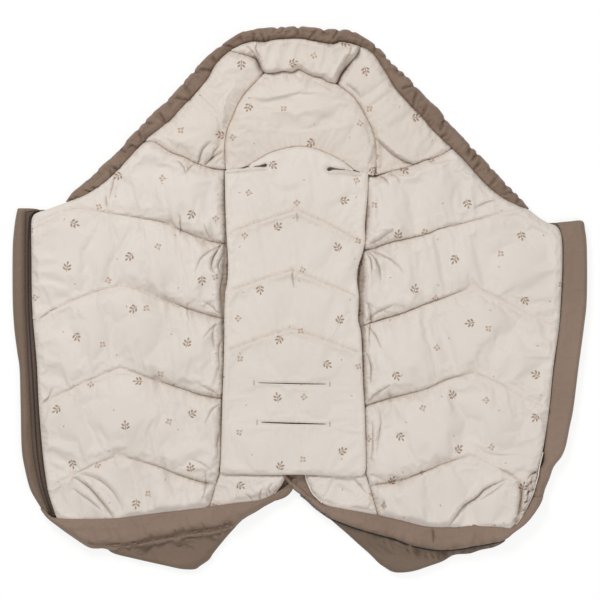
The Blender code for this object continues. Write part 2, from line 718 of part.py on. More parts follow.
# The back under the child
def make_back(kinds):
    origin = (0, 0, 0)
    low = LEFT_FOLD_SHARE + FOLD_GAP_SHARE
    high = RIGHT_FOLD_SHARE - FOLD_GAP_SHARE
    outline = list(BACK_SHELL_TOP_SHARES) + list(BACK_SHELL_LOW_SHARES)
    outline = [(min(max(x, low), high), y) for x, y in outline]
    shell = flat_plate("back_shell", outline, 0, SHELL_THICKNESS, kinds["shell"], origin)
    outline = list(BACK_SHELL_TOP_SHARES) + list(BACK_WADDING_LOW_SHARES)
    outline = [(min(max(x, low), high), y) for x, y in outline]
    wadding = flat_plate("back_wadding", outline, ON_SHELL, WADDING_THICKNESS,
                         kinds["wadding"], origin)
    lining = flat_plate("back_centre_lining", CENTRE_LINING_SHARES, LINING_BASE,
                        CENTRE_LINING_THICKNESS, kinds["lining"], origin)
    cut_out(shell, crotch_boxes() + shoulder_boxes())
    cut_out(wadding, crotch_boxes() + shoulder_boxes())
    cut_out(lining, crotch_boxes())


def make_panel(kinds, origin):
    lines = [smooth_line(points) for points in PANEL_LINES_SHARES]
    crowns = [PANEL_CROWN * share for share in PANEL_CROWN_SHARES]
    panel = soft_piece("harness_panel", lines, PANEL_COLUMNS_SHARE, CHANNEL_ROWS_SHARE,
                       PANEL_BASE, PANEL_THICKNESS, crowns, PANEL_ENDS_SHARES,
                       kinds["lining"], origin)
    cut_out(panel, crotch_boxes())
    names = ("upper", "lower")
    for name, box in zip(names, crotch_boxes()):
        low_x, low_y, high_x, high_y = box
        edge = BINDING_MARGIN_SHARE
        outline = [
            (low_x - edge, low_y - edge), (high_x + edge, low_y - edge),
            (high_x + edge, high_y + edge), (low_x - edge, high_y + edge),
        ]
        binding = flat_plate(f"{name}_slit_binding", outline,
                             PANEL_BASE + PANEL_THICKNESS + LAYER_GAP,
                             BINDING_THICKNESS, kinds["lining"], origin)
        cut_out(binding, [box])


# The hood
def make_hood(kinds, origin):
    outer = smooth_line(CASING_OUTER_SHARES)
    outline = [tuple(point) for point in outer] + list(HOOD_SHELL_LOW_SHARES[1:-1])
    flat_plate("hood_shell", outline, 0, SHELL_THICKNESS, kinds["shell"], origin)
    flat_plate("harness_yoke", YOKE_SHARES, LINING_BASE,
               CENTRE_LINING_THICKNESS + PANEL_THICKNESS, kinds["lining"], origin)
    inner = smooth_line(CASING_INNER_SHARES)
    inset = np.array([0, -1])
    wadding = [tuple(point + inset) for point in cut_line(inner, -145, 134)]
    wadding += [(124, 141), (104, 139), (-104, 139), (-129, 150)]
    flat_plate("hood_wadding", wadding, ON_SHELL, WADDING_THICKNESS, kinds["wadding"],
               origin)
    soft_piece("hood_casing", [inner, outer], CASING_COLUMNS_SHARE, SMALL_ROWS_SHARE,
               ON_SHELL, CASING_RIM, [CASING_CROWN], (1, 1), kinds["shell"], origin,
               CASING_GATHERS_SHARE)
    pieces = [
        ("left_hood_quilt", LEFT_HOOD_LINES_SHARES, LINING_RIM, 0.55 * HOOD_CROWN),
        ("right_hood_quilt", RIGHT_HOOD_LINES_SHARES, LINING_RIM, 0.55 * HOOD_CROWN),
        ("head_panel_quilt", HEAD_LINES_SHARES, HEAD_RIM, HEAD_CROWN),
    ]
    for name, table, rim, crown in pieces:
        lines = [smooth_line(points) for points in table]
        whole_soft_piece(name, lines, rim, crown, kinds["lining"], origin)
    lines = [smooth_line(points) for points in BOLSTER_LINES_SHARES]
    soft_piece("head_bolster", lines, SMALL_COLUMNS_SHARE, SMALL_ROWS_SHARE, LINING_BASE,
               LINING_RIM, [BOLSTER_CROWN], (0.3, 0.3), kinds["lining"], origin)


def whole_soft_piece(name, lines, rim, crown, material, origin):
    """One padded area whose guide lines aren't sewn: it is full all over."""
    rings = [spread_points(line, HOOD_COLUMNS_SHARE) for line in lines]
    count = (len(rings) - 1) * HOOD_ROWS_SHARE
    shape = bmesh.new()
    top = []
    for row in range(count + 1):
        along = row / HOOD_ROWS_SHARE
        index = min(int(along), len(rings) - 2)
        share = along - index
        made = []
        for column in range(HOOD_COLUMNS_SHARE + 1):
            flat = rings[index][column] * (1 - share) + rings[index + 1][column] * share
            across = math.sin(math.pi * column / HOOD_COLUMNS_SHARE) ** 0.6
            upward = math.sin(math.pi * row / count) ** 0.6
            height = LINING_BASE + rim + crown * across * upward
            made.append(shape.verts.new((flat[0] * SQUARE, flat[1] * SQUARE, height)))
        top.append(made)
    for row in range(count):
        for column in range(HOOD_COLUMNS_SHARE):
            shape.faces.new(
                (top[row][column], top[row][column + 1],
                 top[row + 1][column + 1], top[row + 1][column])
            )
    border = list(top[0]) + [line[-1] for line in top[1:]]
    border += top[-1][-2::-1] + [line[0] for line in top[-2:0:-1]]
    foot = [shape.verts.new((vert.co.x, vert.co.y, LINING_BASE)) for vert in border]
    for index in range(len(border)):
        after = (index + 1) % len(border)
        shape.faces.new((border[index], border[after], foot[after], foot[index]))
    bmesh.ops.triangulate(shape, faces=[shape.faces.new(foot)])
    return finish_object(name, shape, material, origin, True)


def make_casing_ends(kinds, left_origin, right_origin):
    plans = [
        ("left_casing_end", LEFT_END_OUTER_SHARES, LEFT_END_INNER_SHARES, (0.3, 1),
         left_origin),
        ("right_casing_end", RIGHT_END_OUTER_SHARES, RIGHT_END_INNER_SHARES, (1, 0.3),
         right_origin),
    ]
    for name, outer, inner, ends, origin in plans:
        lines = [smooth_line(inner), smooth_line(outer)]
        soft_piece(name, lines, CASING_COLUMNS_SHARE // 4, SMALL_ROWS_SHARE, ON_SHELL,
                   CASING_RIM, [CASING_CROWN], ends, kinds["shell"], origin,
                   CASING_GATHERS_SHARE // 4)


# The zip's closed end with its slider and pull tab
def make_slider(kinds):
    start = np.array(FOOT_TAPE_SHARES[0], float) * SQUARE
    end = np.array(FOOT_TAPE_SHARES[1], float) * SQUARE
    way = (end - start) / np.linalg.norm(end - start)
    turn = math.atan2(way[1], way[0]) - math.pi / 2
    coil_base = ON_SHELL + TAPE_THICKNESS + LAYER_GAP
    ribbon("foot_zip_tape", FOOT_TAPE_SHARES, TAPE_WIDTH, ON_SHELL, TAPE_THICKNESS,
           kinds["tape"], (0, 0, 0))
    shape = bmesh.new()
    stop_at = start + way * STOP_LENGTH
    box_solid(shape, (stop_at[0], stop_at[1], coil_base + STOP_HEIGHT / 2),
              (SLIDER_WIDTH, STOP_LENGTH, STOP_HEIGHT), turn)
    finish_object("zip_bottom_stop", shape, kinds["metal"], (0, 0, 0), False)
    at = start + way * (STOP_LENGTH + STOP_LENGTH + SLIDER_LENGTH)
    low_plate_z = coil_base + SLIDER_PLATE / 2
    core_z = coil_base + SLIDER_PLATE + SLIDER_CORE_HEIGHT / 2
    high_plate_z = coil_base + SLIDER_PLATE + SLIDER_CORE_HEIGHT + SLIDER_PLATE / 2
    shape = bmesh.new()
    outline = [
        (-SLIDER_WIDTH / 2, SLIDER_LENGTH / 2), (SLIDER_WIDTH / 2, SLIDER_LENGTH / 2),
        (SLIDER_WIDTH / 3, -SLIDER_LENGTH / 2), (-SLIDER_WIDTH / 3, -SLIDER_LENGTH / 2),
    ]
    core = [
        (-SLIDER_CORE_WIDTH / 2, SLIDER_LENGTH / 3), (SLIDER_CORE_WIDTH / 2, SLIDER_LENGTH / 3),
        (SLIDER_CORE_WIDTH / 4, -SLIDER_LENGTH / 3), (-SLIDER_CORE_WIDTH / 4, -SLIDER_LENGTH / 3),
    ]
    slider_layers(shape, outline, core, at, turn,
                  [coil_base, low_plate_z + SLIDER_PLATE / 2,
                   core_z + SLIDER_CORE_HEIGHT / 2, high_plate_z + SLIDER_PLATE / 2])
    slider_origin = (at[0], at[1], coil_base)
    finish_object("zip_slider", shape, kinds["metal"], slider_origin, False)
    tab_base = high_plate_z + SLIDER_PLATE / 2 + LAYER_GAP
    pivot = at - way * (SLIDER_LENGTH / 2 - TAB_THICKNESS)
    middle = pivot + way * (TAB_LENGTH / 2 - TAB_THICKNESS)
    shape = bmesh.new()
    box_solid(shape, (middle[0], middle[1], tab_base + TAB_THICKNESS / 2),
              (TAB_WIDTH, TAB_LENGTH, TAB_THICKNESS), turn)
    bmesh.ops.recalc_face_normals(shape, faces=shape.faces)
    bmesh.ops.bevel(shape, geom=list(shape.edges), offset=TAB_EDGE, segments=1,
                    affect="EDGES")
    finish_object("pull_tab", shape, kinds["metal"],
                  (pivot[0], pivot[1], tab_base + TAB_THICKNESS), True)


def slider_layers(shape, outline, core, at, turn, levels):
    """Two wedge plates joined by a core, as one closed body."""
    def ring(points, z):
        made = []
        for x, y in points:
            turned_x = at[0] + x * math.cos(turn) - y * math.sin(turn)
            turned_y = at[1] + x * math.sin(turn) + y * math.cos(turn)
            made.append(shape.verts.new((turned_x, turned_y, z)))
        return made

    def wall(first, second):
        for index in range(len(first)):
            after = (index + 1) % len(first)
            shape.faces.new((first[index], first[after], second[after], second[index]))

    bottom = ring(outline, levels[0])
    bottom_up = ring(outline, levels[1])
    core_low = ring(core, levels[1])
    core_high = ring(core, levels[2])
    top_low = ring(outline, levels[2])
    top = ring(outline, levels[3])
    shape.faces.new(bottom)
    wall(bottom, bottom_up)
    wall(bottom_up, core_low)
    wall(core_low, core_high)
    wall(core_high, top_low)
    wall(top_low, top)
    shape.faces.new(top)


def build():
    kinds = make_materials()
    left_origin = (LEFT_FOLD_SHARE * SQUARE, 0, FOLD_AXIS_HEIGHT)
    right_origin = (RIGHT_FOLD_SHARE * SQUARE, 0, FOLD_AXIS_HEIGHT)
    hood_origin = (0, HOOD_HINGE_SHARE * SQUARE, FOLD_AXIS_HEIGHT)
    panel_top = PANEL_BASE + PANEL_THICKNESS + PANEL_CROWN
    panel_origin = (0, PANEL_HINGE_SHARE * SQUARE, panel_top)
    make_front_shells(kinds, left_origin, right_origin)
    make_wings(kinds, left_origin, right_origin)
    make_edge_strips(kinds, left_origin, right_origin)
    make_casing_ends(kinds, left_origin, right_origin)
    make_foot(kinds, left_origin, right_origin)
    make_back(kinds)
    make_panel(kinds, panel_origin)
    make_hood(kinds, hood_origin)
    make_slider(kinds)


build()
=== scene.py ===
# %% [markdown]
# # A padded footmuff for a pushchair, unzipped and laid flat
# The real object is a sewn cover: brown outer cloth, loose white fill, and a
# cream cotton lining that is quilted in chevrons. A CAD model already gives its
# sizes, its bodies and its joints. This lesson dresses that frame in cloth.
# Everything is in metres and in the frame of the CAD model, so nothing is fitted.

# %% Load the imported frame
import math

import bpy
import numpy as np
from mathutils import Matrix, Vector
from mathutils.bvhtree import BVHTree
from mathutils.geometry import delaunay_2d_cdt


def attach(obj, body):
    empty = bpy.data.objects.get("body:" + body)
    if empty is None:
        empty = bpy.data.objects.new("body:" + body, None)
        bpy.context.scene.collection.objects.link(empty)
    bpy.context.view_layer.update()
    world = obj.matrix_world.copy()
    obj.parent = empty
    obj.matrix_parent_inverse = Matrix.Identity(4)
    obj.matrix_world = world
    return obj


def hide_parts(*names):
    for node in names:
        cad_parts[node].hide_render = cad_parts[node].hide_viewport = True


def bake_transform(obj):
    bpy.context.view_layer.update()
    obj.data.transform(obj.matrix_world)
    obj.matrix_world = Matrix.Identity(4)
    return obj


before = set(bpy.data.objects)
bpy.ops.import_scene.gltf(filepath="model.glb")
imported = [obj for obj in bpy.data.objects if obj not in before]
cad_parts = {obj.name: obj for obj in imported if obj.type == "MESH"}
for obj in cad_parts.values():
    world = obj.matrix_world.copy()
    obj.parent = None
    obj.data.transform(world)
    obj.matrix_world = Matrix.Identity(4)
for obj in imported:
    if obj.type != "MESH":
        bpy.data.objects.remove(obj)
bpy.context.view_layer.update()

# %% [markdown]
# ## A short way to wire nodes
# The sky, the cloths and the sewing tools are all made of nodes. One small class adds
# a node with its settings. Its inputs are given as values or as other nodes' sockets.

# %% Wiring for shaders and for geometry
class Wiring:
    """Adds nodes to a tree with their inputs given as values or as sockets."""

    def __init__(self, tree):
        self.tree = tree

    def put(self, node, socket, value):
        if isinstance(value, bpy.types.NodeSocket):
            self.tree.links.new(value, node.inputs[socket])
        elif value is not None:
            node.inputs[socket].default_value = value

    def add(self, kind, inputs=(), **settings):
        node = self.tree.nodes.new(kind)
        for key, value in settings.items():
            setattr(node, key, value)
        for socket, value in dict(inputs).items():
            self.put(node, socket, value)
        return node

    def math(self, kind, *values):
        return self.add("ShaderNodeMath", enumerate(values), operation=kind).outputs[0]

    def times(self, a, b):
        return self.math("MULTIPLY", a, b)

    def plus(self, a, b):
        return self.math("ADD", a, b)

    def minus(self, a, b):
        return self.math("SUBTRACT", a, b)

    def fading(self, value):
        return self.math("EXPONENT", value)

    def vector(self, kind, a, b=None, scale=None):
        node = self.add("ShaderNodeVectorMath", {0: a, 1: b, "Scale": scale}, operation=kind)
        return node.outputs["Value" if kind == "LENGTH" else "Vector"]

    def split(self, vector):
        return self.add("ShaderNodeSeparateXYZ", {0: vector}).outputs

    def join(self, x, y, z=0.0):
        return self.add("ShaderNodeCombineXYZ", enumerate((x, y, z))).outputs[0]

    def turn(self, vector, angle):
        return self.add("ShaderNodeVectorRotate", {"Vector": vector, "Angle": angle},
                        rotation_type="Z_AXIS").outputs[0]

    def noise(self, vector, scale, detail=2.0, roughness=0.5):
        return self.add("ShaderNodeTexNoise", {
            "Vector": vector, "Scale": scale, "Detail": detail,
            "Roughness": roughness}).outputs["Fac"]

    def range(self, value, low, high, to_low=0.0, to_high=1.0):
        return self.add("ShaderNodeMapRange", zip(
            ("Value", "From Min", "From Max", "To Min", "To Max"),
            (value, low, high, to_low, to_high)), interpolation_type="SMOOTHSTEP").outputs[0]

    def mix(self, share, a, b, **settings):
        return self.add("ShaderNodeMix", {0: share, 6: a, 7: b}, data_type="RGBA",
                        **settings).outputs[2]

    def group(self, tree, **inputs):
        return self.add("ShaderNodeGroup", inputs, node_tree=tree).outputs

    def bump(self, height, distance, strength=None, normal=None):
        return self.add("ShaderNodeBump", {"Height": height, "Distance": distance,
                                           "Strength": strength, "Normal": normal}).outputs[0]

    def seen_directly(self):
        """1 for rays from the camera, off a glossy face or through glass."""
        rays = self.add("ShaderNodeLightPath").outputs
        either = self.math("MAXIMUM", rays["Is Camera Ray"], rays["Is Glossy Ray"])
        return self.math("MAXIMUM", either, rays["Is Transmission Ray"])


class Group(Wiring):
    """A new node group: named inputs in taken, and give() sets what comes out."""

    def __init__(self, name, inputs, outputs, kind="ShaderNodeTree"):
        super().__init__(bpy.data.node_groups.new(name, kind))
        for label, (socket_kind, value) in inputs.items():
            socket = self.tree.interface.new_socket(
                label, in_out="INPUT", socket_type="NodeSocket" + socket_kind)
            if value is not None:
                socket.default_value = value
        for label, socket_kind in outputs.items():
            self.tree.interface.new_socket(
                label, in_out="OUTPUT", socket_type="NodeSocket" + socket_kind)
        self.taken = self.add("NodeGroupInput").outputs
        self.given = self.add("NodeGroupOutput")

    def give(self, label, value):
        self.put(self.given, label, value)


def shader_of(material):
    material.use_nodes = True
    return Wiring(material.node_tree), material.node_tree.nodes["Principled BSDF"]


def link_in(obj):
    bpy.context.scene.collection.objects.link(obj)
    return obj


print("nodes can be wired")

# %% [markdown]
# ## The camera and the light come first
# The cover lies on the floor and is seen from straight above, so the camera hangs
# over it and looks down with a long lens, which keeps the outline true. The light
# is a pale sky with one broad lamp from the hood's side. The sky fills the folds,
# and the lamp gives the puckers their soft shadow.

# %% Camera straight above the cover
FRAME_WIDTH = 1.08
CAMERA_HEIGHT = 6.0
SENSOR_MM = 36.0
MIDDLE_OF_CLOTH = 0.02
lens = bpy.data.cameras.new("above")
lens.sensor_width = SENSOR_MM
lens.lens = SENSOR_MM * (CAMERA_HEIGHT - MIDDLE_OF_CLOTH) / FRAME_WIDTH
lens.clip_end = 50.0
camera = link_in(bpy.data.objects.new("above", lens))
camera.location = (0.0, 0.0, CAMERA_HEIGHT)
bpy.context.scene.camera = camera
bpy.context.scene.view_settings.view_transform = "Standard"
print("lens of", round(lens.lens, 1), "mm")

# %% Sky and one broad lamp
sky = bpy.data.worlds.new("pale_sky")
sky.use_nodes = True
w = Wiring(sky.node_tree)
plain_sky = sky.node_tree.nodes["Background"]
w.put(plain_sky, "Color", (1.0, 0.975, 0.94, 1.0))
w.put(plain_sky, "Strength", 0.50)
seen_sky = w.add("ShaderNodeBackground", {"Color": (1.0, 1.0, 1.0, 1.0), "Strength": 1.0})
choose = w.add("ShaderNodeMixShader", {
    "Fac": w.seen_directly(), 1: plain_sky.outputs[0], 2: seen_sky.outputs[0]})
w.put(sky.node_tree.nodes["World Output"], "Surface", choose.outputs[0])
bpy.context.scene.world = sky


def hang_lamp(name, place, target, size, power):
    """A square lamp that looks at one point."""
    data = bpy.data.lights.new(name, "AREA")
    data.shape = "SQUARE"
    data.size = size
    data.energy = power
    lamp = link_in(bpy.data.objects.new(name, data))
    lamp.location = place
    lamp.rotation_mode = "QUATERNION"
    lamp.rotation_quaternion = (Vector(target) - Vector(place)).to_track_quat("-Z", "Y")


hang_lamp("broad_lamp", (-1.15, 1.8, 2.3), (0.05, -0.1, 0.0), 0.9, 46.0)
hang_lamp("fill_lamp", (1.3, -1.5, 2.6), (0.1, -0.15, 0.0), 2.0, 30.0)
print("two lamps and a sky")

# %% [markdown]
# ## The floor
# The photograph's background is pure white. The floor is a pale sheet: to the
# camera it adds a little white of its own, so it reads as white where it is lit,
# and it still keeps the soft shadow under the cover's edge.

# %% Pale floor that keeps the shadow
FLOOR_Z = -0.0012
FLOOR_HALF = 6
floor_mesh = bpy.data.meshes.new("floor")
floor_mesh.from_pydata([(x * FLOOR_HALF, y * FLOOR_HALF, FLOOR_Z) for x, y in (
    (-1, -1), (1, -1), (1, 1), (-1, 1))], [], [(0, 1, 2, 3)])
floor = link_in(bpy.data.objects.new("floor", floor_mesh))
floor_paint = bpy.data.materials.new("pale_floor")
w, matte = shader_of(floor_paint)
w.put(matte, "Base Color", (0.80, 0.80, 0.80, 1.0))
w.put(matte, "Roughness", 0.9)
w.put(matte, "Specular IOR Level", 0.0)
own_white = w.add("ShaderNodeEmission", {"Strength": 1.0, "Color": (1.1, 1.1, 1.1, 1.0)})
mixed = w.add("ShaderNodeMixShader", {
    "Fac": w.times(w.seen_directly(), 0.72), 1: matte.outputs[0], 2: own_white.outputs[0]})
w.put(floor_paint.node_tree.nodes["Material Output"], "Surface", mixed.outputs[0])
floor_mesh.materials.append(floor_paint)
print("floor laid")

# %% [markdown]
# ## The cloth pattern
# A cover like this starts as a paper pattern. Here it is a table of points counted
# in squares right of and above the middle, and one square is 1.8 mm. The same
# squares are used in the CAD model, so each piece lies where its solid lies.

# %% Squares, smooth lines and evenly spread points
SQUARE = 0.0018
FAR_AWAY = 1e9


def smooth_line(points, steps=8):
    """A rounded line through points given in squares, returned in metres."""
    p = np.array([points[0], *points, points[-1]], float)
    made = []
    for i in range(1, len(p) - 2):
        for k in range(steps):
            t = k / steps
            made.append(0.5 * (2 * p[i] + (p[i + 1] - p[i - 1]) * t
                               + (2 * p[i - 1] - 5 * p[i] + 4 * p[i + 1] - p[i + 2]) * t**2
                               + (3 * p[i] - p[i - 1] - 3 * p[i + 1] + p[i + 2]) * t**3))
    made.append(p[-1])
    return np.array(made) * SQUARE


def peaked(points):
    """A smooth line with a sharp corner at its highest point."""
    top = max(range(len(points)), key=lambda i: points[i][1])
    return np.concatenate([smooth_line(points[:top + 1]), smooth_line(points[top:])[1:]])


def at_squares(points):
    return np.array(points, float) * SQUARE


def px(points):
    """Places read off the photograph's own squares, right and down, as metres."""
    return at_squares([(x - 300, 300 - y) for x, y in points])


def traced(points):
    """A smooth line through places read off the photograph."""
    return smooth_line(px(points) / SQUARE, 6)


def joined(*tables):
    """One closed outline out of lines that follow each other."""
    return np.concatenate([smooth_line(table)[:-1] for table in tables])


def closed_outline(points):
    return smooth_line([*points, points[0]])[:-1]


def at_height(line, z):
    """A flat line with a height added to each of its points."""
    return np.column_stack([line, np.zeros(len(line)) + z])


def lengths_along(line):
    steps = np.linalg.norm(np.diff(line, axis=0), axis=1)
    return np.concatenate([[0.0], np.cumsum(steps)])


def spread(line, step, closed=False):
    """Points along a line, about one step apart, with both ends kept."""
    line = np.asarray(line, float)
    if closed:
        line = np.concatenate([line, line[:1]])
    along = lengths_along(line)
    count = max(2, int(round(along[-1] / step)))
    wanted = np.linspace(0.0, along[-1], count + 1)
    made = np.stack([np.interp(wanted, along, line[:, k]) for k in range(line.shape[1])], 1)
    return made[:-1] if closed else made


def inside(points, outline):
    """True for each point that lies inside a closed outline."""
    x, y = points[:, 0], points[:, 1]
    found = np.zeros(len(points), bool)
    for (ax, ay), (bx, by) in zip(outline, np.roll(outline, -1, axis=0)):
        crosses = (ay > y) != (by > y)
        if ay != by:
            found ^= crosses & (x < (bx - ax) * (y - ay) / (by - ay) + ax)
    return found


def within(points, rings):
    """True for each point inside the first ring and outside the holes after it."""
    keep = inside(points, rings[0])
    for hole in rings[1:]:
        keep &= ~inside(points, hole)
    return keep


def distance_to(points, line, closed=False):
    """How far each point is from a line, and how far along the line that is."""
    line = np.asarray(line, float)[:, :2]
    ends = np.roll(line, -1, axis=0) if closed else line[1:]
    starts = line if closed else line[:-1]
    best = np.full(len(points), FAR_AWAY)
    along = np.zeros(len(points))
    travelled = 0.0
    for a, b in zip(starts, ends):
        d = b - a
        size = float(d @ d)
        t = np.clip(((points - a) @ d) / max(size, 1e-12), 0, 1)
        gap = np.linalg.norm(points - a - t[:, None] * d, axis=1)
        nearer = gap < best
        best[nearer] = gap[nearer]
        along[nearer] = travelled + t[nearer] * math.sqrt(size)
        travelled += math.sqrt(size)
    return best, along


def gap_to(points, *lines):
    """How far each point is from the nearest of some lines."""
    return np.minimum.reduce([distance_to(points, line)[0] for line in lines])


def nearest(points, lines, closed, start, stride):
    """The distance to the nearest line, and the way along it, counted on per line."""
    best = np.full(len(points), FAR_AWAY)
    best_along = np.zeros(len(points))
    for k, line in enumerate(lines):
        gap, along = distance_to(points, line, closed)
        nearer = gap < best
        best[nearer] = gap[nearer]
        best_along[nearer] = along[nearer] + start + stride * k
    return best, best_along


print("a line of", len(smooth_line([(0, 0), (10, 5), (20, 0)])), "points")

# %% [markdown]
# ## Smooth randomness
# Cloth is never even. A line of random values that is read with smooth steps gives
# bumps of a chosen length. The seed is fixed, so that each run gives the same cover.

# %% Smooth noise along one and two ways
def wander(values, wavelength, seed):
    """Smooth noise from -1 to 1 along one way."""
    table = np.random.default_rng(seed).uniform(-1, 1, 4096)
    at = np.asarray(values) / wavelength + 1500.5
    low = np.floor(at).astype(int)
    t = at - low
    t = t * t * (3 - 2 * t)
    return table[low % 4096] * (1 - t) + table[(low + 1) % 4096] * t


def rolling(points, wave_x, wave_y, seed):
    """Smooth noise from about -1 to 1 over the flat pattern."""
    table = np.random.default_rng(seed).uniform(-1, 1, (64, 64))
    at = np.stack([points[:, 0] / wave_x, points[:, 1] / wave_y], 1) + 640.37
    low = np.floor(at).astype(int)
    t = at - low
    t = t * t * (3 - 2 * t)
    x0, y0 = low[:, 0] % 64, low[:, 1] % 64
    x1, y1 = (x0 + 1) % 64, (y0 + 1) % 64
    row = table[x0, y0] * (1 - t[:, 0]) + table[x1, y0] * t[:, 0]
    next_row = table[x0, y1] * (1 - t[:, 0]) + table[x1, y1] * t[:, 0]
    return row * (1 - t[:, 1]) + next_row * t[:, 1]


def ease(values, low, high):
    """0 before low, 1 after high, smooth between."""
    t = np.clip((np.asarray(values, float) - low) / (high - low), 0, 1)
    return t * t * (3 - 2 * t)


def bell(values, width):
    """1 at zero, fading to both sides."""
    return np.exp(-(values / width) ** 2)


print("noise runs from", round(float(wander(np.linspace(0, 1, 999), 0.01, 1).min()), 2))

# %% [markdown]
# ## Node groups for cloth
# All the cloths share a few effects, so each is a group that is built once: the weave
# of the threads, the creases, the puckers at the seams, and the small print of the
# lining. They read the cloth's own flat coordinates, in metres, from its UV map, so
# the threads and the print stay on the cloth when it folds.
#
# ### Weave
# Plain cloth is threads that pass over and under each other. Two sine waves make
# that chequer, and noise that is drawn out along each way makes the uneven, slubby
# threads that cotton shows.

# %% The weave group
CLOTH = {"Cloth": ("Vector", None)}
BOTH_OUT = {"Height": "Float", "Tone": "Float"}
w = Group("cloth_weave", {**CLOTH, "Thread": ("Float", 0.0006), "Slub": ("Float", 1.0)},
          BOTH_OUT)
weave = w.tree
warp, weft = (w.math("SINE", w.math("DIVIDE", w.times(way, 2 * math.pi), w.taken["Thread"]))
              for way in w.split(w.taken["Cloth"])[:2])
slub_x, slub_y = (w.noise(w.vector("MULTIPLY", w.taken["Cloth"], way), 1.0)
                  for way in ((90.0, 900.0, 1.0), (900.0, 90.0, 1.0)))
slub = w.times(w.plus(slub_x, slub_y), w.taken["Slub"])
w.give("Height", w.plus(w.times(w.times(warp, weft), 0.5), slub))
w.give("Tone", w.plus(0.5, w.times(w.minus(slub_x, slub_y), w.taken["Slub"])))
print("weave group with", len(weave.nodes), "nodes")

# %% [markdown]
# ### Creases
# Cloth that was packed in a bag keeps fine creases. They are ridges of a stretched
# noise: the value folds over at its middle, which leaves thin lines where the noise
# passes through it.

# %% The crease group
w = Group("cloth_creases", {**CLOTH, "Size": ("Float", 0.05), "Amount": ("Float", 1.0)},
          BOTH_OUT)
creases = w.tree
scaled = w.vector("SCALE", w.taken["Cloth"], scale=w.math("DIVIDE", 1.0, w.taken["Size"]))
bend = w.noise(scaled, 0.6)
bent = w.vector("ADD", scaled, w.join(w.times(bend, 1.4), bend))
ridges = w.math("ABSOLUTE", w.minus(w.noise(bent, 1.0, 3.0, 0.45), 0.5))
line_height = w.range(ridges, 0.0, 0.09, 1.0, 0.0)
soft = w.noise(scaled, 0.9, 3.0, 0.55)
w.give("Height", w.times(w.plus(w.times(line_height, 0.35), soft), w.taken["Amount"]))
w.give("Tone", w.noise(scaled, 0.35))
print("crease group with", len(creases.nodes), "nodes")

# %% [markdown]
# ### Puckers at the seams
# Each stitch pulls a little cloth in, so small folds stand at right angles to a seam
# and fade away from it. A second UV map named Seam holds two lengths: how far along
# its nearest seam a point lies, and how far it is from that seam. Noise that is
# stretched away from the seam makes the folds.

# %% The pucker group
w = Group("seam_puckers", {"Seam": ("Vector", None), "Wave": ("Float", 0.006),
                           "Fade": ("Float", 0.010)}, {"Height": "Float", "Shade": "Float"})
puckers = w.tree
seam = w.split(w.taken["Seam"])
along_wave = w.math("DIVIDE", seam[0], w.taken["Wave"])
away_wave = w.math("DIVIDE", seam[1], w.times(w.taken["Wave"], 7.0))
fine = w.noise(w.join(along_wave, away_wave), 1.0, 1.0, 0.4)
long_wave = w.join(w.times(along_wave, 0.31), w.times(away_wave, 0.35), 5.3)
long_folds = w.math("ABSOLUTE", w.minus(w.noise(long_wave, 1.0, 1.0), 0.5))
long_lines = w.range(long_folds, 0.0, 0.16)
near, far = (w.fading(w.math("DIVIDE", w.times(seam[1], speed), w.taken["Fade"]))
             for speed in (-1.0, -0.4))
w.give("Height", w.plus(w.times(fine, w.times(near, 1.4)),
                        w.times(long_lines, w.times(far, 0.16))))
# Shade is painted shade: it darkens the colour in the valleys between the puckers near the seam.
w.give("Shade", w.times(near, w.range(fine, 0.3, 0.6, 1.0, 0.0)))
print("pucker group with", len(puckers.nodes), "nodes")

# %% [markdown]
# ### The small print
# The lining has a scattered print of little brown motifs about a centimetre and a
# half wide. This one is a plain design of its own: a leafy sprig, three berries on
# their stems and a single small leaf. A lattice group drops each column by half a
# step, shifts and turns every motif by chance, and gives the place inside the motif.
# Each motif is then a few ellipses.

# %% The lattice of motifs
w = Group("motif_lattice", {**CLOTH, "Step": ("Float", 0.12),
                            "Shift": ("Vector", (0.0, 0.0, 0.0)), "Seed": ("Float", 1.0)},
          {"Place": "Vector"})
lattice = w.tree
moved = w.vector("ADD", w.taken["Cloth"], w.taken["Shift"])
steps = w.split(w.vector("SCALE", moved, scale=w.math("DIVIDE", 1.0, w.taken["Step"])))
column = w.math("FLOOR", steps[0])
dropped = w.plus(steps[1], w.times(column, 0.5))
row = w.math("FLOOR", dropped)
chance = w.add("ShaderNodeTexWhiteNoise", {"Vector": w.join(column, row, w.taken["Seed"])},
               noise_dimensions="3D")
random_parts = w.add("ShaderNodeSeparateColor", {0: chance.outputs["Color"]}).outputs
place = [w.plus(w.minus(w.minus(steps[0], column), 0.5),
                w.times(w.minus(random_parts[0], 0.5), 0.42)),
         w.plus(w.minus(w.minus(dropped, row), 0.5),
                w.times(w.minus(random_parts[1], 0.5), 0.42))]
place = w.vector("SCALE", w.join(*place), scale=w.taken["Step"])
w.give("Place", w.turn(place, w.times(random_parts[2], 2 * math.pi)))
print("lattice group with", len(lattice.nodes), "nodes")

# %% The print group
w = Group("sprig_print", {**CLOTH, "Seed": ("Float", 1.0)}, {"Dark": "Float", "Light": "Float"})
print_group = w.tree


def motif_place(step, shift, seed_shift):
    return w.group(lattice, Cloth=w.taken["Cloth"], Step=step, Shift=shift,
                   Seed=w.plus(w.taken["Seed"], seed_shift))["Place"]


def ellipse(place, centre, half_sizes, angle=0.0):
    """1 inside a small ellipse, 0 outside, with a printed, slightly soft edge."""
    at = w.vector("SUBTRACT", place, (*centre, 0.0))
    if angle:
        at = w.turn(at, angle)
    at = w.vector("MULTIPLY", at, (1 / half_sizes[0], 1 / half_sizes[1], 0.0))
    return w.range(w.vector("LENGTH", at), 0.8, 1.12, 1.0, 0.0)


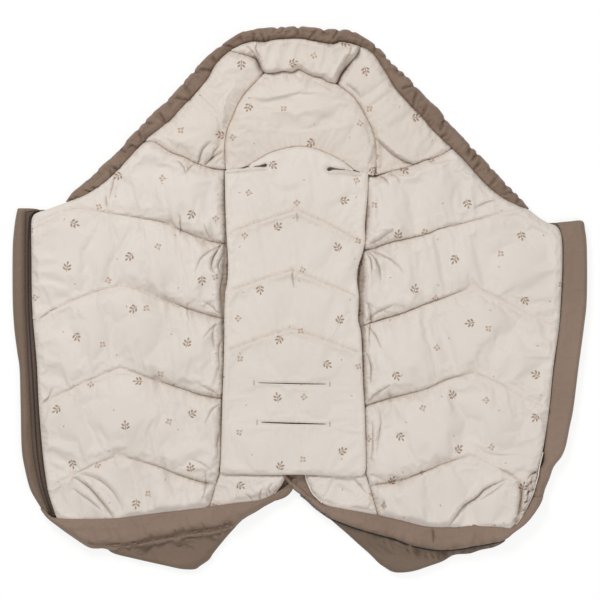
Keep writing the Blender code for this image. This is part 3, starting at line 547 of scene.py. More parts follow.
def motif(place, *ellipses):
    """A motif that is the same on its left and on its right."""
    parts = w.split(place)
    place = w.join(w.math("ABSOLUTE", parts[0]), parts[1])
    total = ellipse(place, *ellipses[0])
    for shape in ellipses[1:]:
        total = w.math("MAXIMUM", total, ellipse(place, *shape))
    return total


sprig_mask = motif(
    motif_place(0.112, (0.031, 0.017, 0.0), 0.0),
    ((0.0, -0.0008), (0.0008, 0.0076)), ((0.0040, 0.0030), (0.0034, 0.0018), -0.75),
    ((0.0044, -0.0026), (0.0036, 0.0018), -0.62), ((0.0, 0.0080), (0.0017, 0.0028)))
berry_mask = motif(
    motif_place(0.112, (0.087, 0.061, 0.0), 7.0),
    ((0.0041, 0.0028), (0.0021, 0.0021)), ((0.0, 0.0056), (0.0022, 0.0022)),
    ((0.0019, -0.0010), (0.0006, 0.0040), 0.62), ((0.0, -0.0012), (0.0006, 0.0056)))
leaf_mask = ellipse(motif_place(0.090, (0.012, 0.051, 0.0), 13.0), (0.0, 0.0),
                    (0.0024, 0.0009))
ink = w.range(w.noise(w.taken["Cloth"], 1500.0, 1.0), 0.25, 0.6, 0.72, 1.0)
w.give("Dark", w.times(sprig_mask, ink))
w.give("Light", w.times(w.math("MAXIMUM", berry_mask, leaf_mask), ink))
print("print group with", len(print_group.nodes), "nodes")

# %% [markdown]
# ### Cloth materials
# Each cloth is a Principled shader of its own: colour from tone, weave and print,
# with painted shade tinted in at the seams and in the folds, and one Bump for the
# threads over one for the puckers and one for the creases. The attributes pull and
# deep say how hard a seam pulls and where a fold lies in the dark, and so how much
# shade is painted there. Sheen is the soft fuzz that lightens cotton at glancing
# angles; it is the same all over, so it is set on the shader itself.

# %% Build a cloth material
LIGHT_INK = (0.40, 0.275, 0.185, 1.0)
DARK_INK = (0.27, 0.17, 0.105, 1.0)
# Tints that paint shade into the colour: a warm painted shade at the seams and a darker painted shade in
# the folds.
SEAM_SHADE_TINT = (0.72, 0.57, 0.44, 1.0)
FOLD_SHADE_TINT = (0.38, 0.29, 0.21, 1.0)


def cloth_material(name, colour, dark_tone, thread=0.0005, slub=0.5, crease=0.5,
                   crease_size=0.05, roughness=0.72, sheen=0.10, print_seed=None,
                   pucker=0.003, wave=0.006, fade=0.010):
    made = bpy.data.materials.new(name)
    w, shader = shader_of(made)
    cloth, seam = (w.add("ShaderNodeUVMap", uv_map=label).outputs[0]
                   for label in ("Cloth", "Seam"))
    pull, deep = (w.add("ShaderNodeAttribute", attribute_name=label).outputs["Fac"]
                  for label in ("pull", "deep"))
    threads = w.group(weave, Cloth=cloth, Thread=thread, Slub=slub)
    folds = w.group(creases, Cloth=cloth, Size=crease_size, Amount=crease)
    gathers = w.group(puckers, Seam=seam, Wave=wave, Fade=fade)
    tone = w.plus(w.times(folds["Tone"], 0.7), w.times(threads["Tone"], 0.3))
    base = w.mix(w.range(tone, 0.3, 0.7), (*dark_tone, 1.0), (*colour, 1.0))
    if print_seed is not None:
        pattern = w.group(print_group, Cloth=cloth, Seed=print_seed)
        base = w.mix(w.times(pattern["Light"], 0.85), base, LIGHT_INK)
        base = w.mix(w.times(pattern["Dark"], 0.9), base, DARK_INK)
    # Painted shade: near each seam, on a thin broken line along it and in the pucker valleys the colour
    # is tinted warm, weighted by pull; where deep is set it is tinted darker.
    from_seam = w.split(seam)[1]
    near_seam = w.fading(w.times(from_seam, -110.0))
    seam_shade_line = w.fading(w.times(w.math("POWER", w.math(
        "DIVIDE", from_seam, 0.0012), 2.0), -1.0))
    seam_shade_line = w.times(seam_shade_line, w.range(w.noise(cloth, 70.0), 0.40, 0.62))
    seam_shade = w.plus(w.times(near_seam, 0.17),
                  w.plus(w.times(seam_shade_line, 0.40), w.times(gathers["Shade"], 0.22)))
    tan = w.mix(1.0, base, SEAM_SHADE_TINT, blend_type="MULTIPLY")
    base = w.mix(w.times(seam_shade, pull), base, tan)
    tan = w.mix(1.0, base, FOLD_SHADE_TINT, blend_type="MULTIPLY")
    w.put(shader, "Base Color", w.mix(w.times(deep, 0.9), base, tan))
    w.put(shader, "Roughness", w.range(tone, 0.2, 0.8, roughness + 0.06, roughness - 0.04))
    crease_bump = w.bump(folds["Height"], 0.0016, 0.55)
    pucker_bump = w.bump(w.times(gathers["Height"], pull), pucker, None, crease_bump)
    w.put(shader, "Normal", w.bump(threads["Height"], 0.00012, 0.35, pucker_bump))
    w.put(shader, "Sheen Weight", sheen)
    w.put(shader, "Sheen Roughness", 0.5)
    w.put(shader, "Specular IOR Level", 0.25)
    return made


COTTON = {"thread": 0.0006, "roughness": 0.86, "sheen": 0.12}
CREAM = ((0.712, 0.658, 0.610), (0.680, 0.624, 0.575))
cream_cotton = cloth_material("cream_cotton", *CREAM, slub=0.9, crease_size=0.060,
                              print_seed=3.0, **COTTON)
cream_panel_cotton = cloth_material(
    "cream_panel_cotton", (0.712, 0.658, 0.608), (0.682, 0.626, 0.576), slub=1.3,
    crease=0.45, crease_size=0.070, print_seed=11.0, **COTTON)
# The hood's cotton is a darker, warmer copy of the cream cotton: painted shade for the hood.
cream_hood_cotton_painted_shade = cloth_material(
    "cream_hood_cotton_painted_shade", (0.690, 0.630, 0.577), (0.652, 0.590, 0.534), slub=1.2,
    crease_size=0.065, print_seed=7.0, **COTTON)
plain_cotton = cloth_material("plain_cotton", *CREAM, slub=1.0, crease_size=0.04, **COTTON)
# The outer cloth is a darker copy of the band's brown, toned like the shaded left strip: painted shade.
shaded_brown_cloth = cloth_material(
    "brown_outer_cloth_painted_shade", (0.196, 0.141, 0.104), (0.170, 0.121, 0.089), crease_size=0.045)
brown_band_cloth = cloth_material(
    "brown_band_cloth", (0.258, 0.186, 0.143), (0.228, 0.164, 0.125), crease=0.55)
brown_casing_cloth = cloth_material(
    "brown_casing_cloth", (0.240, 0.173, 0.132), (0.212, 0.152, 0.115), crease=0.55,
    roughness=0.68, pucker=0.0012, wave=0.012, fade=0.02)
# A darker copy of the brown cloth for the right pouch, which slopes away from the light: painted shade.
brown_pouch_cloth_painted_shade = cloth_material(
    "brown_pouch_cloth_painted_shade", (0.176, 0.127, 0.094), (0.150, 0.107, 0.079), crease_size=0.045)
dark_cloth = cloth_material(
    "brown_zip_tape", (0.120, 0.084, 0.064), (0.100, 0.069, 0.052), thread=0.0009,
    slub=0.4, crease=0.2, roughness=0.75, sheen=0.05)
print(len(bpy.data.materials), "materials so far")

# %% [markdown]
# ## Padded pieces
# A padded piece is a top cloth that is held down along its border and its seams,
# with loose fill under it. So each piece starts as a net of small triangles over
# its pattern, with points exactly on every seam. The net is lifted to a soft crown
# and then Blender's cloth simulation blows it up a little while the seams stay
# pinned. The cloth is a few per cent longer than its seams, as real quilting is, and
# that spare length buckles into puckers.

# %% A triangle net over a pattern piece
FOLD_STEP = 0.0026
FOLD_SIDE = 0.0022
FOLD_ROOM = 0.0042
FOLD_CELL = 0.0017


def lean(flat, triangles):
    """More than zero for the triangles that face up, less for those that face down."""
    a, b, c = (flat[triangles[:, k]] for k in range(3))
    return (b[:, 0] - a[:, 0]) * (c[:, 1] - a[:, 1]) - (b[:, 1] - a[:, 1]) * (c[:, 0] - a[:, 0])


def rim_of(triangles):
    """The point that follows each point along the open edges of a net."""
    sides = {(int(t[k]), int(t[(k + 1) % 3])) for t in triangles for k in range(3)}
    return {a: b for a, b in sides if (b, a) not in sides}


def beside_folds(folds, loose, rings, step):
    """Finer points along the folds, with the coarse ones near them taken out."""
    fine = []
    for fold in folds:
        run = spread(fold, FOLD_STEP)
        way = np.gradient(run, axis=0)
        way /= np.linalg.norm(way, axis=1)[:, None]
        beside = np.column_stack([-way[:, 1], way[:, 0]]) * FOLD_SIDE
        fine += [run, run + beside, run - beside]
        loose = loose[distance_to(loose, run)[0] > FOLD_ROOM]
    fine = np.concatenate(fine)
    cell = np.unique(np.round(fine / FOLD_CELL).astype(int), axis=0, return_index=True)
    fine = fine[np.sort(cell[1])]
    fine = fine[within(fine, rings)]
    room = np.concatenate([np.full(len(loose), 0.55 * step), np.full(len(fine), 0.0016)])
    return np.concatenate([loose, fine]), room


class Net:
    """Flat cloth: its points, triangles, border, seams and distances to them."""

    def __init__(self, outline, seams=(), holes=(), step=0.005, seed=1, folds=()):
        rings = [spread(outline, step, True)] + [spread(h, step, True) for h in holes]
        lines = [spread(seam, step) for seam in seams]
        points, edges = [], []
        for k, line in enumerate(rings + lines):
            first = len(points)
            points += list(line)
            closing = int(k < len(rings))
            edges += [(first + i, first + (i + 1) % len(line))
                      for i in range(len(line) - 1 + closing)]
        low, high = rings[0].min(0), rings[0].max(0)
        rows = np.arange(low[1], high[1], step * 0.866)
        loose = np.array([(x + step / 2 * (k % 2), y) for k, y in enumerate(rows)
                          for x in np.arange(low[0], high[0], step)])
        loose += np.random.default_rng(seed).uniform(-0.13, 0.13, loose.shape) * step
        loose = loose[within(loose, rings)]
        room = np.full(len(loose), 0.55 * step)
        if folds:
            loose, room = beside_folds(folds, loose, rings, step)
        gap = np.full(len(loose), FAR_AWAY)
        for k, line in enumerate(rings + lines):
            gap = np.minimum(gap, distance_to(loose, line, k < len(rings))[0])
        points += list(loose[gap > room])
        found = delaunay_2d_cdt([Vector(p) for p in points], edges, [], 0, step * 0.12)
        flat = np.array([tuple(v) for v in found[0]])
        triangles = np.array([f for f in found[2] if len(f) == 3])
        triangles = triangles[within(flat[triangles].mean(1), rings)]
        turned = lean(flat, triangles) < 0
        triangles[turned] = triangles[turned][:, ::-1]
        used, flat_index = np.unique(triangles, return_inverse=True)
        self.points = flat[used]
        self.triangles = flat_index.reshape(-1, 3)
        self.rings = rings
        self.after = rim_of(self.triangles)
        self.on_border = np.zeros(len(self.points), bool)
        self.on_border[list(self.after)] = True
        self.to_border, border_along = nearest(self.points, rings, True, 40.0, 5.0)
        self.to_seam, seam_along = nearest(self.points, lines, False, 0.0, 3.0)
        self.gap = np.minimum(self.to_border, self.to_seam)
        self.on_seam = (self.to_seam < step * 0.1) & ~self.on_border
        self.near = np.column_stack([
            np.where(self.to_border < self.to_seam, border_along, seam_along), self.gap])
        jump = np.ptp(self.near[self.triangles, 0], axis=1) > 0.015
        # deep holds painted shade: how far each point's colour is darkened for lying in a fold.
        self.deep = np.zeros(len(self.points))
        self.calm = np.ones(len(self.points))
        self.calm[np.unique(self.triangles[jump])] = 0.0

    def paint_shade(self, amount):
        """Paints shade into the colour of cloth that lies in the dark of a fold."""
        self.deep = np.maximum(self.deep, amount)


def crown(distance, reach, power=0.62):
    """0 at a seam, 1 at a reach from it, rounded like a stuffed channel."""
    t = np.clip(distance / reach, 0, 1)
    return (1 - (1 - t) ** 2) ** power


test_net = Net(smooth_line([(0, 0), (20, 0), (20, 20), (0, 20), (0, 0)]))
print("a test net of", len(test_net.points), "points")

# %% Pin, blow up and read back
FRAMES = 20
CLOTH_SETTINGS = {
    "quality": 6, "mass": 0.12, "tension_stiffness": 12.0, "compression_stiffness": 12.0,
    "shear_stiffness": 4.0, "bending_stiffness": 0.25, "air_damping": 2.0,
    "vertex_group_mass": "held", "pin_stiffness": 1.0, "use_pressure": True}
waiting = []


def mesh_object(name, points, faces):
    data = bpy.data.meshes.new(name)
    data.from_pydata([tuple(map(float, p)) for p in points], [],
                     [tuple(map(int, f)) for f in faces])
    return link_in(bpy.data.objects.new(name, data))


def prepare(name, net, heights, growth, pressure, cap, guard=None, after=0.0, creases=(),
            free=None):
    """Queues a net with its starting heights and the creases to press in afterwards."""
    start = at_height(net.points, heights)
    obj = mesh_object(f"soft_{name}", start, net.triangles)
    group = obj.vertex_groups.new(name="held")
    held = net.on_border | net.on_seam
    group.add([int(i) for i in np.flatnonzero(held)], 1.0, "REPLACE")
    if free is not None:
        after = after + ease(net.to_border, 0.0, free) * creased(net.points, creases, net)
    waiting.append({"name": name, "net": net, "start": start, "obj": obj, "cap": cap,
                    "growth": growth, "pressure": pressure, "guard": guard,
                    "after": after})


def blow_up():
    """Runs the cloth simulation of every waiting piece side by side."""
    scene = bpy.context.scene
    for piece in waiting:
        cloth = piece["obj"].modifiers.new("Cloth", "CLOTH")
        for key, value in CLOTH_SETTINGS.items():
            setattr(cloth.settings, key, value)
        cloth.settings.shrink_min = -piece["growth"]
        cloth.settings.uniform_pressure_force = piece["pressure"]
        cloth.settings.effector_weights.gravity = 0.0
        cloth.collision_settings.use_collision = False
        cloth.collision_settings.use_self_collision = False
        cloth.point_cache.frame_start = 1
        cloth.point_cache.frame_end = FRAMES
    for number in range(1, FRAMES + 1):
        scene.frame_set(number)
    graph = bpy.context.evaluated_depsgraph_get()
    shapes = {}
    for piece in waiting:
        seen = piece["obj"].evaluated_get(graph)
        moved = np.array([v.co for v in seen.data.vertices], float).reshape(-1, 3)
        push = moved - piece["start"]
        size = np.linalg.norm(push, axis=1)
        push *= (np.minimum(size, piece["cap"]) / np.maximum(size, 1e-9))[:, None]
        shape = piece["start"] + push
        shape[:, 2] += piece["after"]
        if piece["guard"]:
            shape = piece["guard"](shape, piece["net"])
        shapes[piece["name"]] = shape
        print(piece["name"], "rose by up to", round(float(push[:, 2].max()) * 1000, 1), "mm",
              "of", round(float(size.max()) * 1000, 1))
    scene.frame_set(1)
    for piece in waiting:
        bpy.data.objects.remove(piece["obj"], do_unlink=True)
    waiting.clear()
    return shapes


print("ready to simulate")

# %% Close a padded piece below and give it its cloth coordinates
NO_SEAM_NEAR = [0.0, 0.1]


def bake(obj):
    """Replaces an object's mesh with what its modifiers make of it."""
    graph = bpy.context.evaluated_depsgraph_get()
    made = bpy.data.meshes.new_from_object(obj.evaluated_get(graph))
    old = obj.data
    obj.modifiers.clear()
    obj.data = made
    made.name = obj.name
    bpy.data.meshes.remove(old)


def lay_coordinates(obj, flat, shift=(0.0, 0.0), angle=0.0, near=None, pull=None, deep=None):
    """Stores the UV maps Cloth and Seam, in metres, how seams pull and where shade is painted."""
    c, s = math.cos(angle), math.sin(angle)
    place = np.column_stack([flat[:, 0] * c - flat[:, 1] * s + shift[0],
                             flat[:, 0] * s + flat[:, 1] * c + shift[1]])
    corner = np.zeros(len(obj.data.loops), np.int32)
    obj.data.loops.foreach_get("vertex_index", corner)
    if near is None:
        near = np.tile(NO_SEAM_NEAR, (len(flat), 1))
        pull = deep = np.zeros(len(flat))
    for label, values in (("Cloth", place), ("Seam", near)):
        layer = obj.data.uv_layers.new(name=label)
        layer.data.foreach_set("uv", values[corner].astype(np.float32).ravel())
    for label, values in (("pull", pull), ("deep", deep)):
        kept = obj.data.attributes.new(label, "FLOAT", "POINT")
        kept.data.foreach_set("value", values.astype(np.float32))


def close_below(name, net, shape, base, material, shift=(0.0, 0.0), angle=0.0,
                levels=1, low_step=0.018, crease=0.5, rim=1.0, pull=0.6):
    """A closed body: the shaped cloth on top, a low wall and a flat underside."""
    top_count = len(shape)
    border = list(net.after)
    low_of = {v: top_count + k for k, v in enumerate(border)}
    low_points = at_height(shape[border][:, :2], base)
    faces = [tuple(t) for t in net.triangles]
    faces += [(b, a, low_of[a], low_of[b]) for a, b in net.after.items()]
    ring_edges = [(low_of[a] - top_count, low_of[b] - top_count)
                  for a, b in net.after.items()]
    low, high = net.points.min(0), net.points.max(0)
    grid = np.array([(x, y) for x in np.arange(low[0], high[0], low_step)
                     for y in np.arange(low[1], high[1], low_step)])
    gap = nearest(grid, net.rings, True, 0.0, 0.0)[0]
    grid = grid[within(grid, net.rings) & (gap > low_step * 0.4)]
    flat_low = np.concatenate([low_points[:, :2], grid])
    found = delaunay_2d_cdt([Vector(p) for p in flat_low], ring_edges, [], 0, 1e-7)
    back = np.array([origins[0] if origins else -1 for origins in found[3]])
    under = back[np.array([f for f in found[2] if len(f) == 3])]
    under = under[(under >= 0).all(1)]
    under = under[within(flat_low[under].mean(1), net.rings)]
    upward = lean(flat_low, under) > 0
    under[upward] = under[upward][:, ::-1]
    faces += [tuple(top_count + i for i in triangle) for triangle in under]
    points = np.concatenate([shape, low_points, at_height(grid, base)])
    obj = mesh_object(name, points, faces)
    flat = np.concatenate([net.points, net.points[border], grid])
    added = np.zeros(len(border) + len(grid))
    near = np.concatenate([net.near, np.tile(NO_SEAM_NEAR, (len(added), 1))])
    lay_coordinates(obj, flat, shift, angle, near, np.concatenate([net.calm * pull, added]),
                    np.concatenate([net.deep, added]))
    if levels:
        edges = np.zeros(len(obj.data.edges) * 2, np.int32)
        obj.data.edges.foreach_get("vertices", edges)
        edges = edges.reshape(-1, 2)
        seam = np.zeros(len(points), bool)
        seam[:top_count] = net.on_seam
        rim_edges = {tuple(sorted(pair)) for pair in net.after.items()}
        on_rim = np.array([tuple(sorted(pair)) in rim_edges for pair in edges.tolist()])
        strength = np.where(seam[edges].all(1), crease, 0.0)
        strength[on_rim] = rim
        obj.data.edge_creases_ensure().data.foreach_set("value", strength.astype(np.float32))
        smooth = obj.modifiers.new("Smooth", "SUBSURF")
        smooth.levels = smooth.render_levels = levels
        smooth.uv_smooth = "NONE"
        bake(obj)
    obj.data.materials.append(material)
    obj.data.shade_smooth()
    return obj


print("pieces can be closed")

# %% [markdown]
# ## The lines that the pieces share
# Neighbouring pieces are sewn to each other along one line, so each such line is
# written once and both outlines are joined from it. Then no gap opens between them.

# %% Seam lines of the lining
LEFT_RIM_EDGE = [(-261, 88), (-250, 91.6), (-242, 94.6), (-234, 97.4)]
LEFT_CASING_EDGE = [
    (-234, 97.4), (-225, 101), (-216, 104.4), (-203, 112.4), (-190, 122.4), (-181, 131.6), (-171, 142),
    (-163, 151), (-156, 157.6)]
LEFT_NECK = [
    (-156, 157.6), (-147, 158.4), (-135, 151), (-126, 146), (-115, 142.4), (-105, 137), (-90, 132.4),
    (-74, 130)]
RIGHT_NECK = [
    (63.6, 126.6), (74, 124), (88, 128), (104, 131.6), (115, 136), (124, 139.6), (135, 142.4), (145, 147),
    (152, 151.6)]
RIGHT_CASING_EDGE = [
    (152, 151.6), (162, 142), (171, 132), (180, 122), (190, 112), (203, 102), (216, 95.4), (229, 90.4)]
RIGHT_RIM_EDGE = [(229, 90.4), (239, 82.4), (247, 77.6), (256, 74.6)]
LEFT_SEAMS = [
    [(-268.2, 75), (-252, 83), (-240, 88), (-220, 92), (-192, 87), (-161, 82), (-135, 77), (-117, 69),
     (-93, 60), (-71, 56)],
    [(-268, -19), (-256, -14), (-225, 0), (-205, 8), (-178, 15), (-155, 8), (-135, 0), (-110, -9),
     (-90, -15), (-72, -20)],
    [(-261, -105), (-240, -94), (-215, -82), (-180, -67), (-150, -78), (-123, -87),
     (-98, -95), (-73, -99)],
    [(-252.2, -190), (-240, -181), (-227, -175), (-205, -164), (-181, -155), (-143, -166), (-120, -175),
     (-101, -181), (-84, -184)],
]
LEFT_OUTER = [
    (-261, 88), (-266.4, 85), (-268.8, 76), (-268.6, 40), (-268.2, 0), (-266.4, -28), (-263.4, -62),
    (-261.6, -100), (-258.6, -140), (-256, -166), (-252.6, -188), (-249, -202), (-242, -222)]
LEFT_BOTTOM = [(-242, -222), (-217, -225), (-184, -224), (-151, -220), (-120, -217),
               (-93, -214)]
LEFT_FOOT_SEAM = [(-93, -214), (-90.4, -206), (-86, -190), (-81, -174), (-75, -156)]
LEFT_INNER = [(-75, -156), (-74, -98), (-72, -52), (-71.5, 7), (-71, 66), (-74, 130)]
RIGHT_SEAMS = [
    [(61, 49), (75, 52), (89, 57), (127, 66), (140, 71), (172, 79), (204, 88), (219, 91)],
    [(58, -28), (80, -20), (100, -14), (132, -2), (156, 7), (173, 14), (190, 6),
     (229, -14), (258.6, -27)],
    [(60, -108), (84, -100), (124, -89), (148, -79), (174, -72), (196, -82), (219, -95),
     (248.6, -109)],
    [(64, -187), (98, -180), (120, -173), (145, -163), (170, -155), (190, -164),
     (206, -172), (234, -186)],
]
RIGHT_OUTER = [
    (256, 74.6), (260.4, 69), (262.4, 56), (262.4, 30), (261, 0), (259, -28), (253.4, -68), (249.4, -108),
    (243.4, -148), (239, -166), (236, -182), (232.4, -197), (226, -210), (220, -220), (212, -231)]
RIGHT_BOTTOM = [(212, -231), (195, -234), (164, -234), (135, -233), (119, -230),
                (80, -222)]
RIGHT_FOOT_SEAM = [(80, -222), (77.4, -214), (71.4, -192), (66, -174), (62.4, -156)]
RIGHT_INNER = [(62.4, -156), (60, -100), (59, -50), (56, 3), (61, 56), (62, 100),
               (63.6, 126.6)]
RIM_LEFT = [
    (-156, 157.6), (-152, 163), (-140, 172), (-128, 182), (-119, 192), (-109, 202), (-100, 212),
    (-92, 222), (-87, 232), (-79, 242), (-70, 249.6)]
RIM_TOP = [
    (-70, 249.6), (-58, 255.6), (-47, 258.4), (-35, 258), (-25, 260.3), (-1, 261.3), (13, 259), (32, 256),
    (41, 258.4), (53, 256), (60.4, 253.4)]
RIM_RIGHT = [
    (60.4, 253.4), (68, 250.4), (76, 243), (83, 232), (89, 222), (95, 212), (104, 202), (113, 192),
    (123, 182), (131, 172), (141, 162), (152, 151.6)]
HEAD_LEFT = [
    (-74, 130), (-75.4, 150), (-73.4, 168), (-67.4, 183), (-59.4, 200), (-48.4, 214), (-35.8, 227)]
HEAD_RIGHT = [(36.6, 216.4), (54.4, 202), (66.4, 183), (74.4, 164), (76.4, 142),
              (74, 124)]
BOLSTER_LEFT = [(-35.8, 227), (-41, 236), (-46, 242.4), (-70, 249.6)]
BOLSTER_LOW = [
    (-35.8, 227), (-27, 227), (-16, 229), (-8, 228), (-1, 231), (5, 227.6), (14, 224), (22, 222.4),
    (28, 218.4), (36.6, 216.4)]
BOLSTER_RIGHT = [(36.6, 216.4), (43.2, 229), (55.7, 244), (60.4, 253.4)]
YOKE_ARCH = [
    (-54, 133.4), (-45, 138.6), (-31, 146.6), (-16, 151.4), (0, 153.8), (16, 151), (31, 145), (45, 137.4),
    (55, 129.6)]

print("seam lines ready")

# %% [markdown]
# ## Folds, grooves and puckers
# Three shapes cover what cloth does here. A fold is a ridge that is steeper on one
# side. A groove is a narrow dark line where cloth is pulled in: its depth is real,
# and the sharp grooves also get painted shade. Puckers are many grooves side by
# side that start at a seam and fade away from it.

# %% Helpers for the starting heights
PANEL_LEFT = smooth_line([
    (-76, 130), (-75.4, 66), (-77, 32), (-79, 6), (-78, -20), (-77, -52), (-78.5, -110), (-79.5, -176)])
PANEL_RIGHT = smooth_line([
    (68, 130), (66, 72), (63.6, 45), (62.5, 20), (62.5, -14), (64, -54), (65, -110), (66, -176)])


TENTHS_OF_MM = 10000
SHARP = 0.0027
DARKEST = 0.0055
DARK_REACH = 0.0021
PANEL_TOP = 130 * SQUARE
PANEL_HEM = -176 * SQUARE
OUTER_PULL = 0.3


def side_of(points, line):
    """Signed distance to a line: more than zero on its left."""
    gap, along = distance_to(points, line)
    d = np.diff(line, axis=0)
    middle = (line[:-1] + line[1:]) / 2
    nearest_part = np.argmin(np.linalg.norm(points[:, None] - middle[None], axis=2), axis=1)
    start, way = line[nearest_part], d[nearest_part]
    cross = way[:, 0] * (points[:, 1] - start[:, 1]) - way[:, 1] * (points[:, 0] - start[:, 0])
    return gap * np.sign(cross), along


def end_fade(line, along, power):
    """0 at both ends of a line and 1 at its middle."""
    return np.sin(np.pi * np.clip(along / lengths_along(line)[-1], 0.0, 1.0)) ** power


def ridge(points, places, height, steep, width=0.012):
    """A soft fold along a line; steep 1 or -1 makes one side sharper."""
    line = px(places)
    signed, along = side_of(points, line)
    wide = np.where(signed * steep > 0, width * 0.3, width)
    return height * bell(signed, wide) * end_fade(line, along, 0.7)


def fold_lines(creases):
    """The lines of the sharp creases, where a net needs finer triangles."""
    return [traced(places) for width, depth, *places in creases if depth / TENTHS_OF_MM >= SHARP]


def creased(points, creases, net=None):
    """Listed creases: each is a groove with a lip of cloth beside it."""
    total = np.zeros(len(points))
    for width, depth, *places in creases:
        width, depth = width / TENTHS_OF_MM, depth / TENTHS_OF_MM
        sharp = depth >= SHARP
        if not sharp:
            width = 1.7 * width
        line = traced(places)
        signed, along = side_of(points, line)
        ends = end_fade(line, along, 0.6)
        groove = bell(signed, width)
        lip = bell(signed - 2.2 * width, 1.6 * width)
        total += ends * (1.4 if sharp else 1.0) * depth * (0.65 * lip - groove)
        # Sharp grooves also get painted shade along their line.
        if net is not None and sharp:
            thin = np.clip(1 - np.abs(signed) / DARK_REACH, 0, 1) * ends
            net.paint_shade(thin * min(1.0, depth / DARKEST))
    return total


def valleys(values, wavelength, seed, sharp=2.0):
    """Rounded hills with narrow valleys between them, from -1 to about 0.4."""
    return 0.4 - 1.4 * (1 - np.abs(wander(values, wavelength, seed))) ** sharp


def soft_heights(net, low, full, reach, seed, pucker, seam_low=None, wave=0.009,
                 fade=0.018, broad=0.0012, ways=(1.0, 0.2), power=0.62):
    """Crowned channels with puckers that run out from the seams."""
    low_z = low + 0.0 * net.to_border
    if seam_low is not None:
        low_z = np.where(net.to_border < net.to_seam, low_z, seam_low)
    heights = low_z + (full - low_z) * crown(net.gap, reach, power)
    line = net.points[:, 0] * ways[0] + net.points[:, 1] * ways[1]
    folds = wander(line, wave, seed) + 0.6 * wander(line, wave * 2.3, seed + 1)
    folds *= np.exp(-net.gap / fade) * ease(net.gap, 0.0, 0.006)
    rolls = rolling(net.points, 0.05, 0.07, seed + 2) * ease(net.gap, 0.0, 0.02)
    return heights + pucker * folds + broad * rolls


def beyond_panel(points, side):
    """How far a point lies outside the panel's edge; less than zero under the panel."""
    edge = PANEL_LEFT if side < 0 else PANEL_RIGHT
    at = np.interp(points[:, 1], edge[::-1, 1], edge[::-1, 0])
    past = (points[:, 0] - at) * side
    below = PANEL_HEM - points[:, 1]
    above = points[:, 1] - PANEL_TOP
    return np.maximum(past, np.maximum(below, above))


def keep_low(side, band_edge, under_band):
    """The cloth stays under the panel's edge and under the foot band's upper edge."""
    edge = at_squares(band_edge)

    def guard(shape, net):
        by_edge = 0.0185 + 2.2 * np.maximum(0, beyond_panel(shape, side) + 0.001)
        at = np.interp(shape[:, 0], edge[:, 0], edge[:, 1])
        by_band = under_band + 1.2 * np.maximum(0, shape[:, 1] - at)
        shape[:, 2] = np.minimum(shape[:, 2], np.minimum(by_edge, by_band))
        return shape
    return guard


def shade_by_panel(net, side):
    """Paints shade on the cloth that dives under the panel's edge."""
    past = beyond_panel(net.points, side)
    beside = ease(net.points[:, 1], -182 * SQUARE, -170 * SQUARE) * (
        1 - ease(net.points[:, 1], 118 * SQUARE, 128 * SQUARE))
    net.paint_shade(0.75 * beside * (1 - ease(past, 0.0, 0.0042)))


def by_panel(net):
    """How hard the seams pull: most beside the panel, least at the outer edge."""
    out = ease(np.abs(net.points[:, 0]), 84 * SQUARE, 185 * SQUARE)
    return 1.0 + (OUTER_PULL - 1.0) * out


print("valleys run from", round(float(valleys(np.linspace(0, 1, 999), 0.01, 1).min()), 2))

# %% [markdown]
# ## The two quilted halves
# Each half of the lining runs from the edge strip to the harness panel and is sewn
# to the back along four chevron lines, which leaves five stuffed channels. The
# seams are deep beside the panel, where the fill is thick and the cloth is pulled
# in, and shallow at the outer edge. Each half is one cloth that crosses the side
# fold.

# %% Nets of the halves
LEFT_CREASES = [
    (20, 36, (224, 246), (212, 250), (200, 260), (194, 272)),
    (20, 32, (225, 318), (214, 308), (202, 300)), (20, 34, (225, 322), (212, 328), (202, 340)),
    (20, 30, (224, 398), (212, 390), (200, 384)), (20, 34, (224, 402), (212, 410), (204, 424)),
    (20, 28, (212, 470), (202, 462), (190, 458)), (18, 34, (177, 160), (184, 168), (186, 176)),
    (18, 28, (38, 320), (48, 314), (56, 306)), (18, 28, (40, 404), (48, 398), (52, 388)),
    (22, 75, (227, 240), (220, 247), (213, 258), (211, 268), (216, 275)),
    (18, 50, (226, 249), (222, 255), (218, 266), (221, 276)),
    (24, 60, (226, 262), (222, 285), (222, 312)), (16, 40, (180, 214), (181, 224), (180, 238)),
    (18, 26, (198, 199), (195, 210), (193, 224)), (16, 30, (204, 222), (207, 232), (211, 240)),
    (15, 30, (116, 173), (113, 186), (110, 199)), (14, 28, (106, 195), (107, 208)),
    (18, 34, (196, 162), (190, 168), (186, 176)), (18, 22, (163, 222), (170, 234), (172, 240)),
    (28, 14, (150, 240), (156, 262), (160, 290)), (26, 18, (176, 245), (178, 262), (176, 285)),
    (26, 20, (190, 250), (192, 275), (188, 300)), (24, 22, (203, 258), (204, 280), (198, 306)),
    (30, 12, (137, 262), (146, 283)), (14, 20, (61, 203), (60, 212)),
    (16, 30, (188, 300), (187, 313), (190, 322)), (20, 36, (216, 322), (212, 334), (215, 352)),
    (24, 46, (223, 330), (219, 350), (220, 372)), (26, 20, (196, 330), (194, 352), (190, 372)),
    (24, 16, (178, 330), (176, 350)), (24, 24, (206, 400), (203, 424), (206, 446)),
    (24, 40, (222, 408), (219, 436), (216, 462)), (26, 16, (188, 405), (185, 430)),
    (26, 60, (73, 477), (88, 486), (101, 500), (114, 518)),
    (34, 34, (78, 474), (96, 478), (112, 490), (122, 508)), (20, 28, (72, 488), (87, 498), (103, 510)),
    (20, 22, (50, 466), (66, 472), (78, 471)), (24, 18, (150, 490), (153, 504), (152, 516)),
    (30, 18, (170, 486), (175, 500), (178, 512)), (26, 20, (186, 480), (195, 494), (198, 506)),
    (18, 30, (205, 470), (206, 484), (203, 500))]
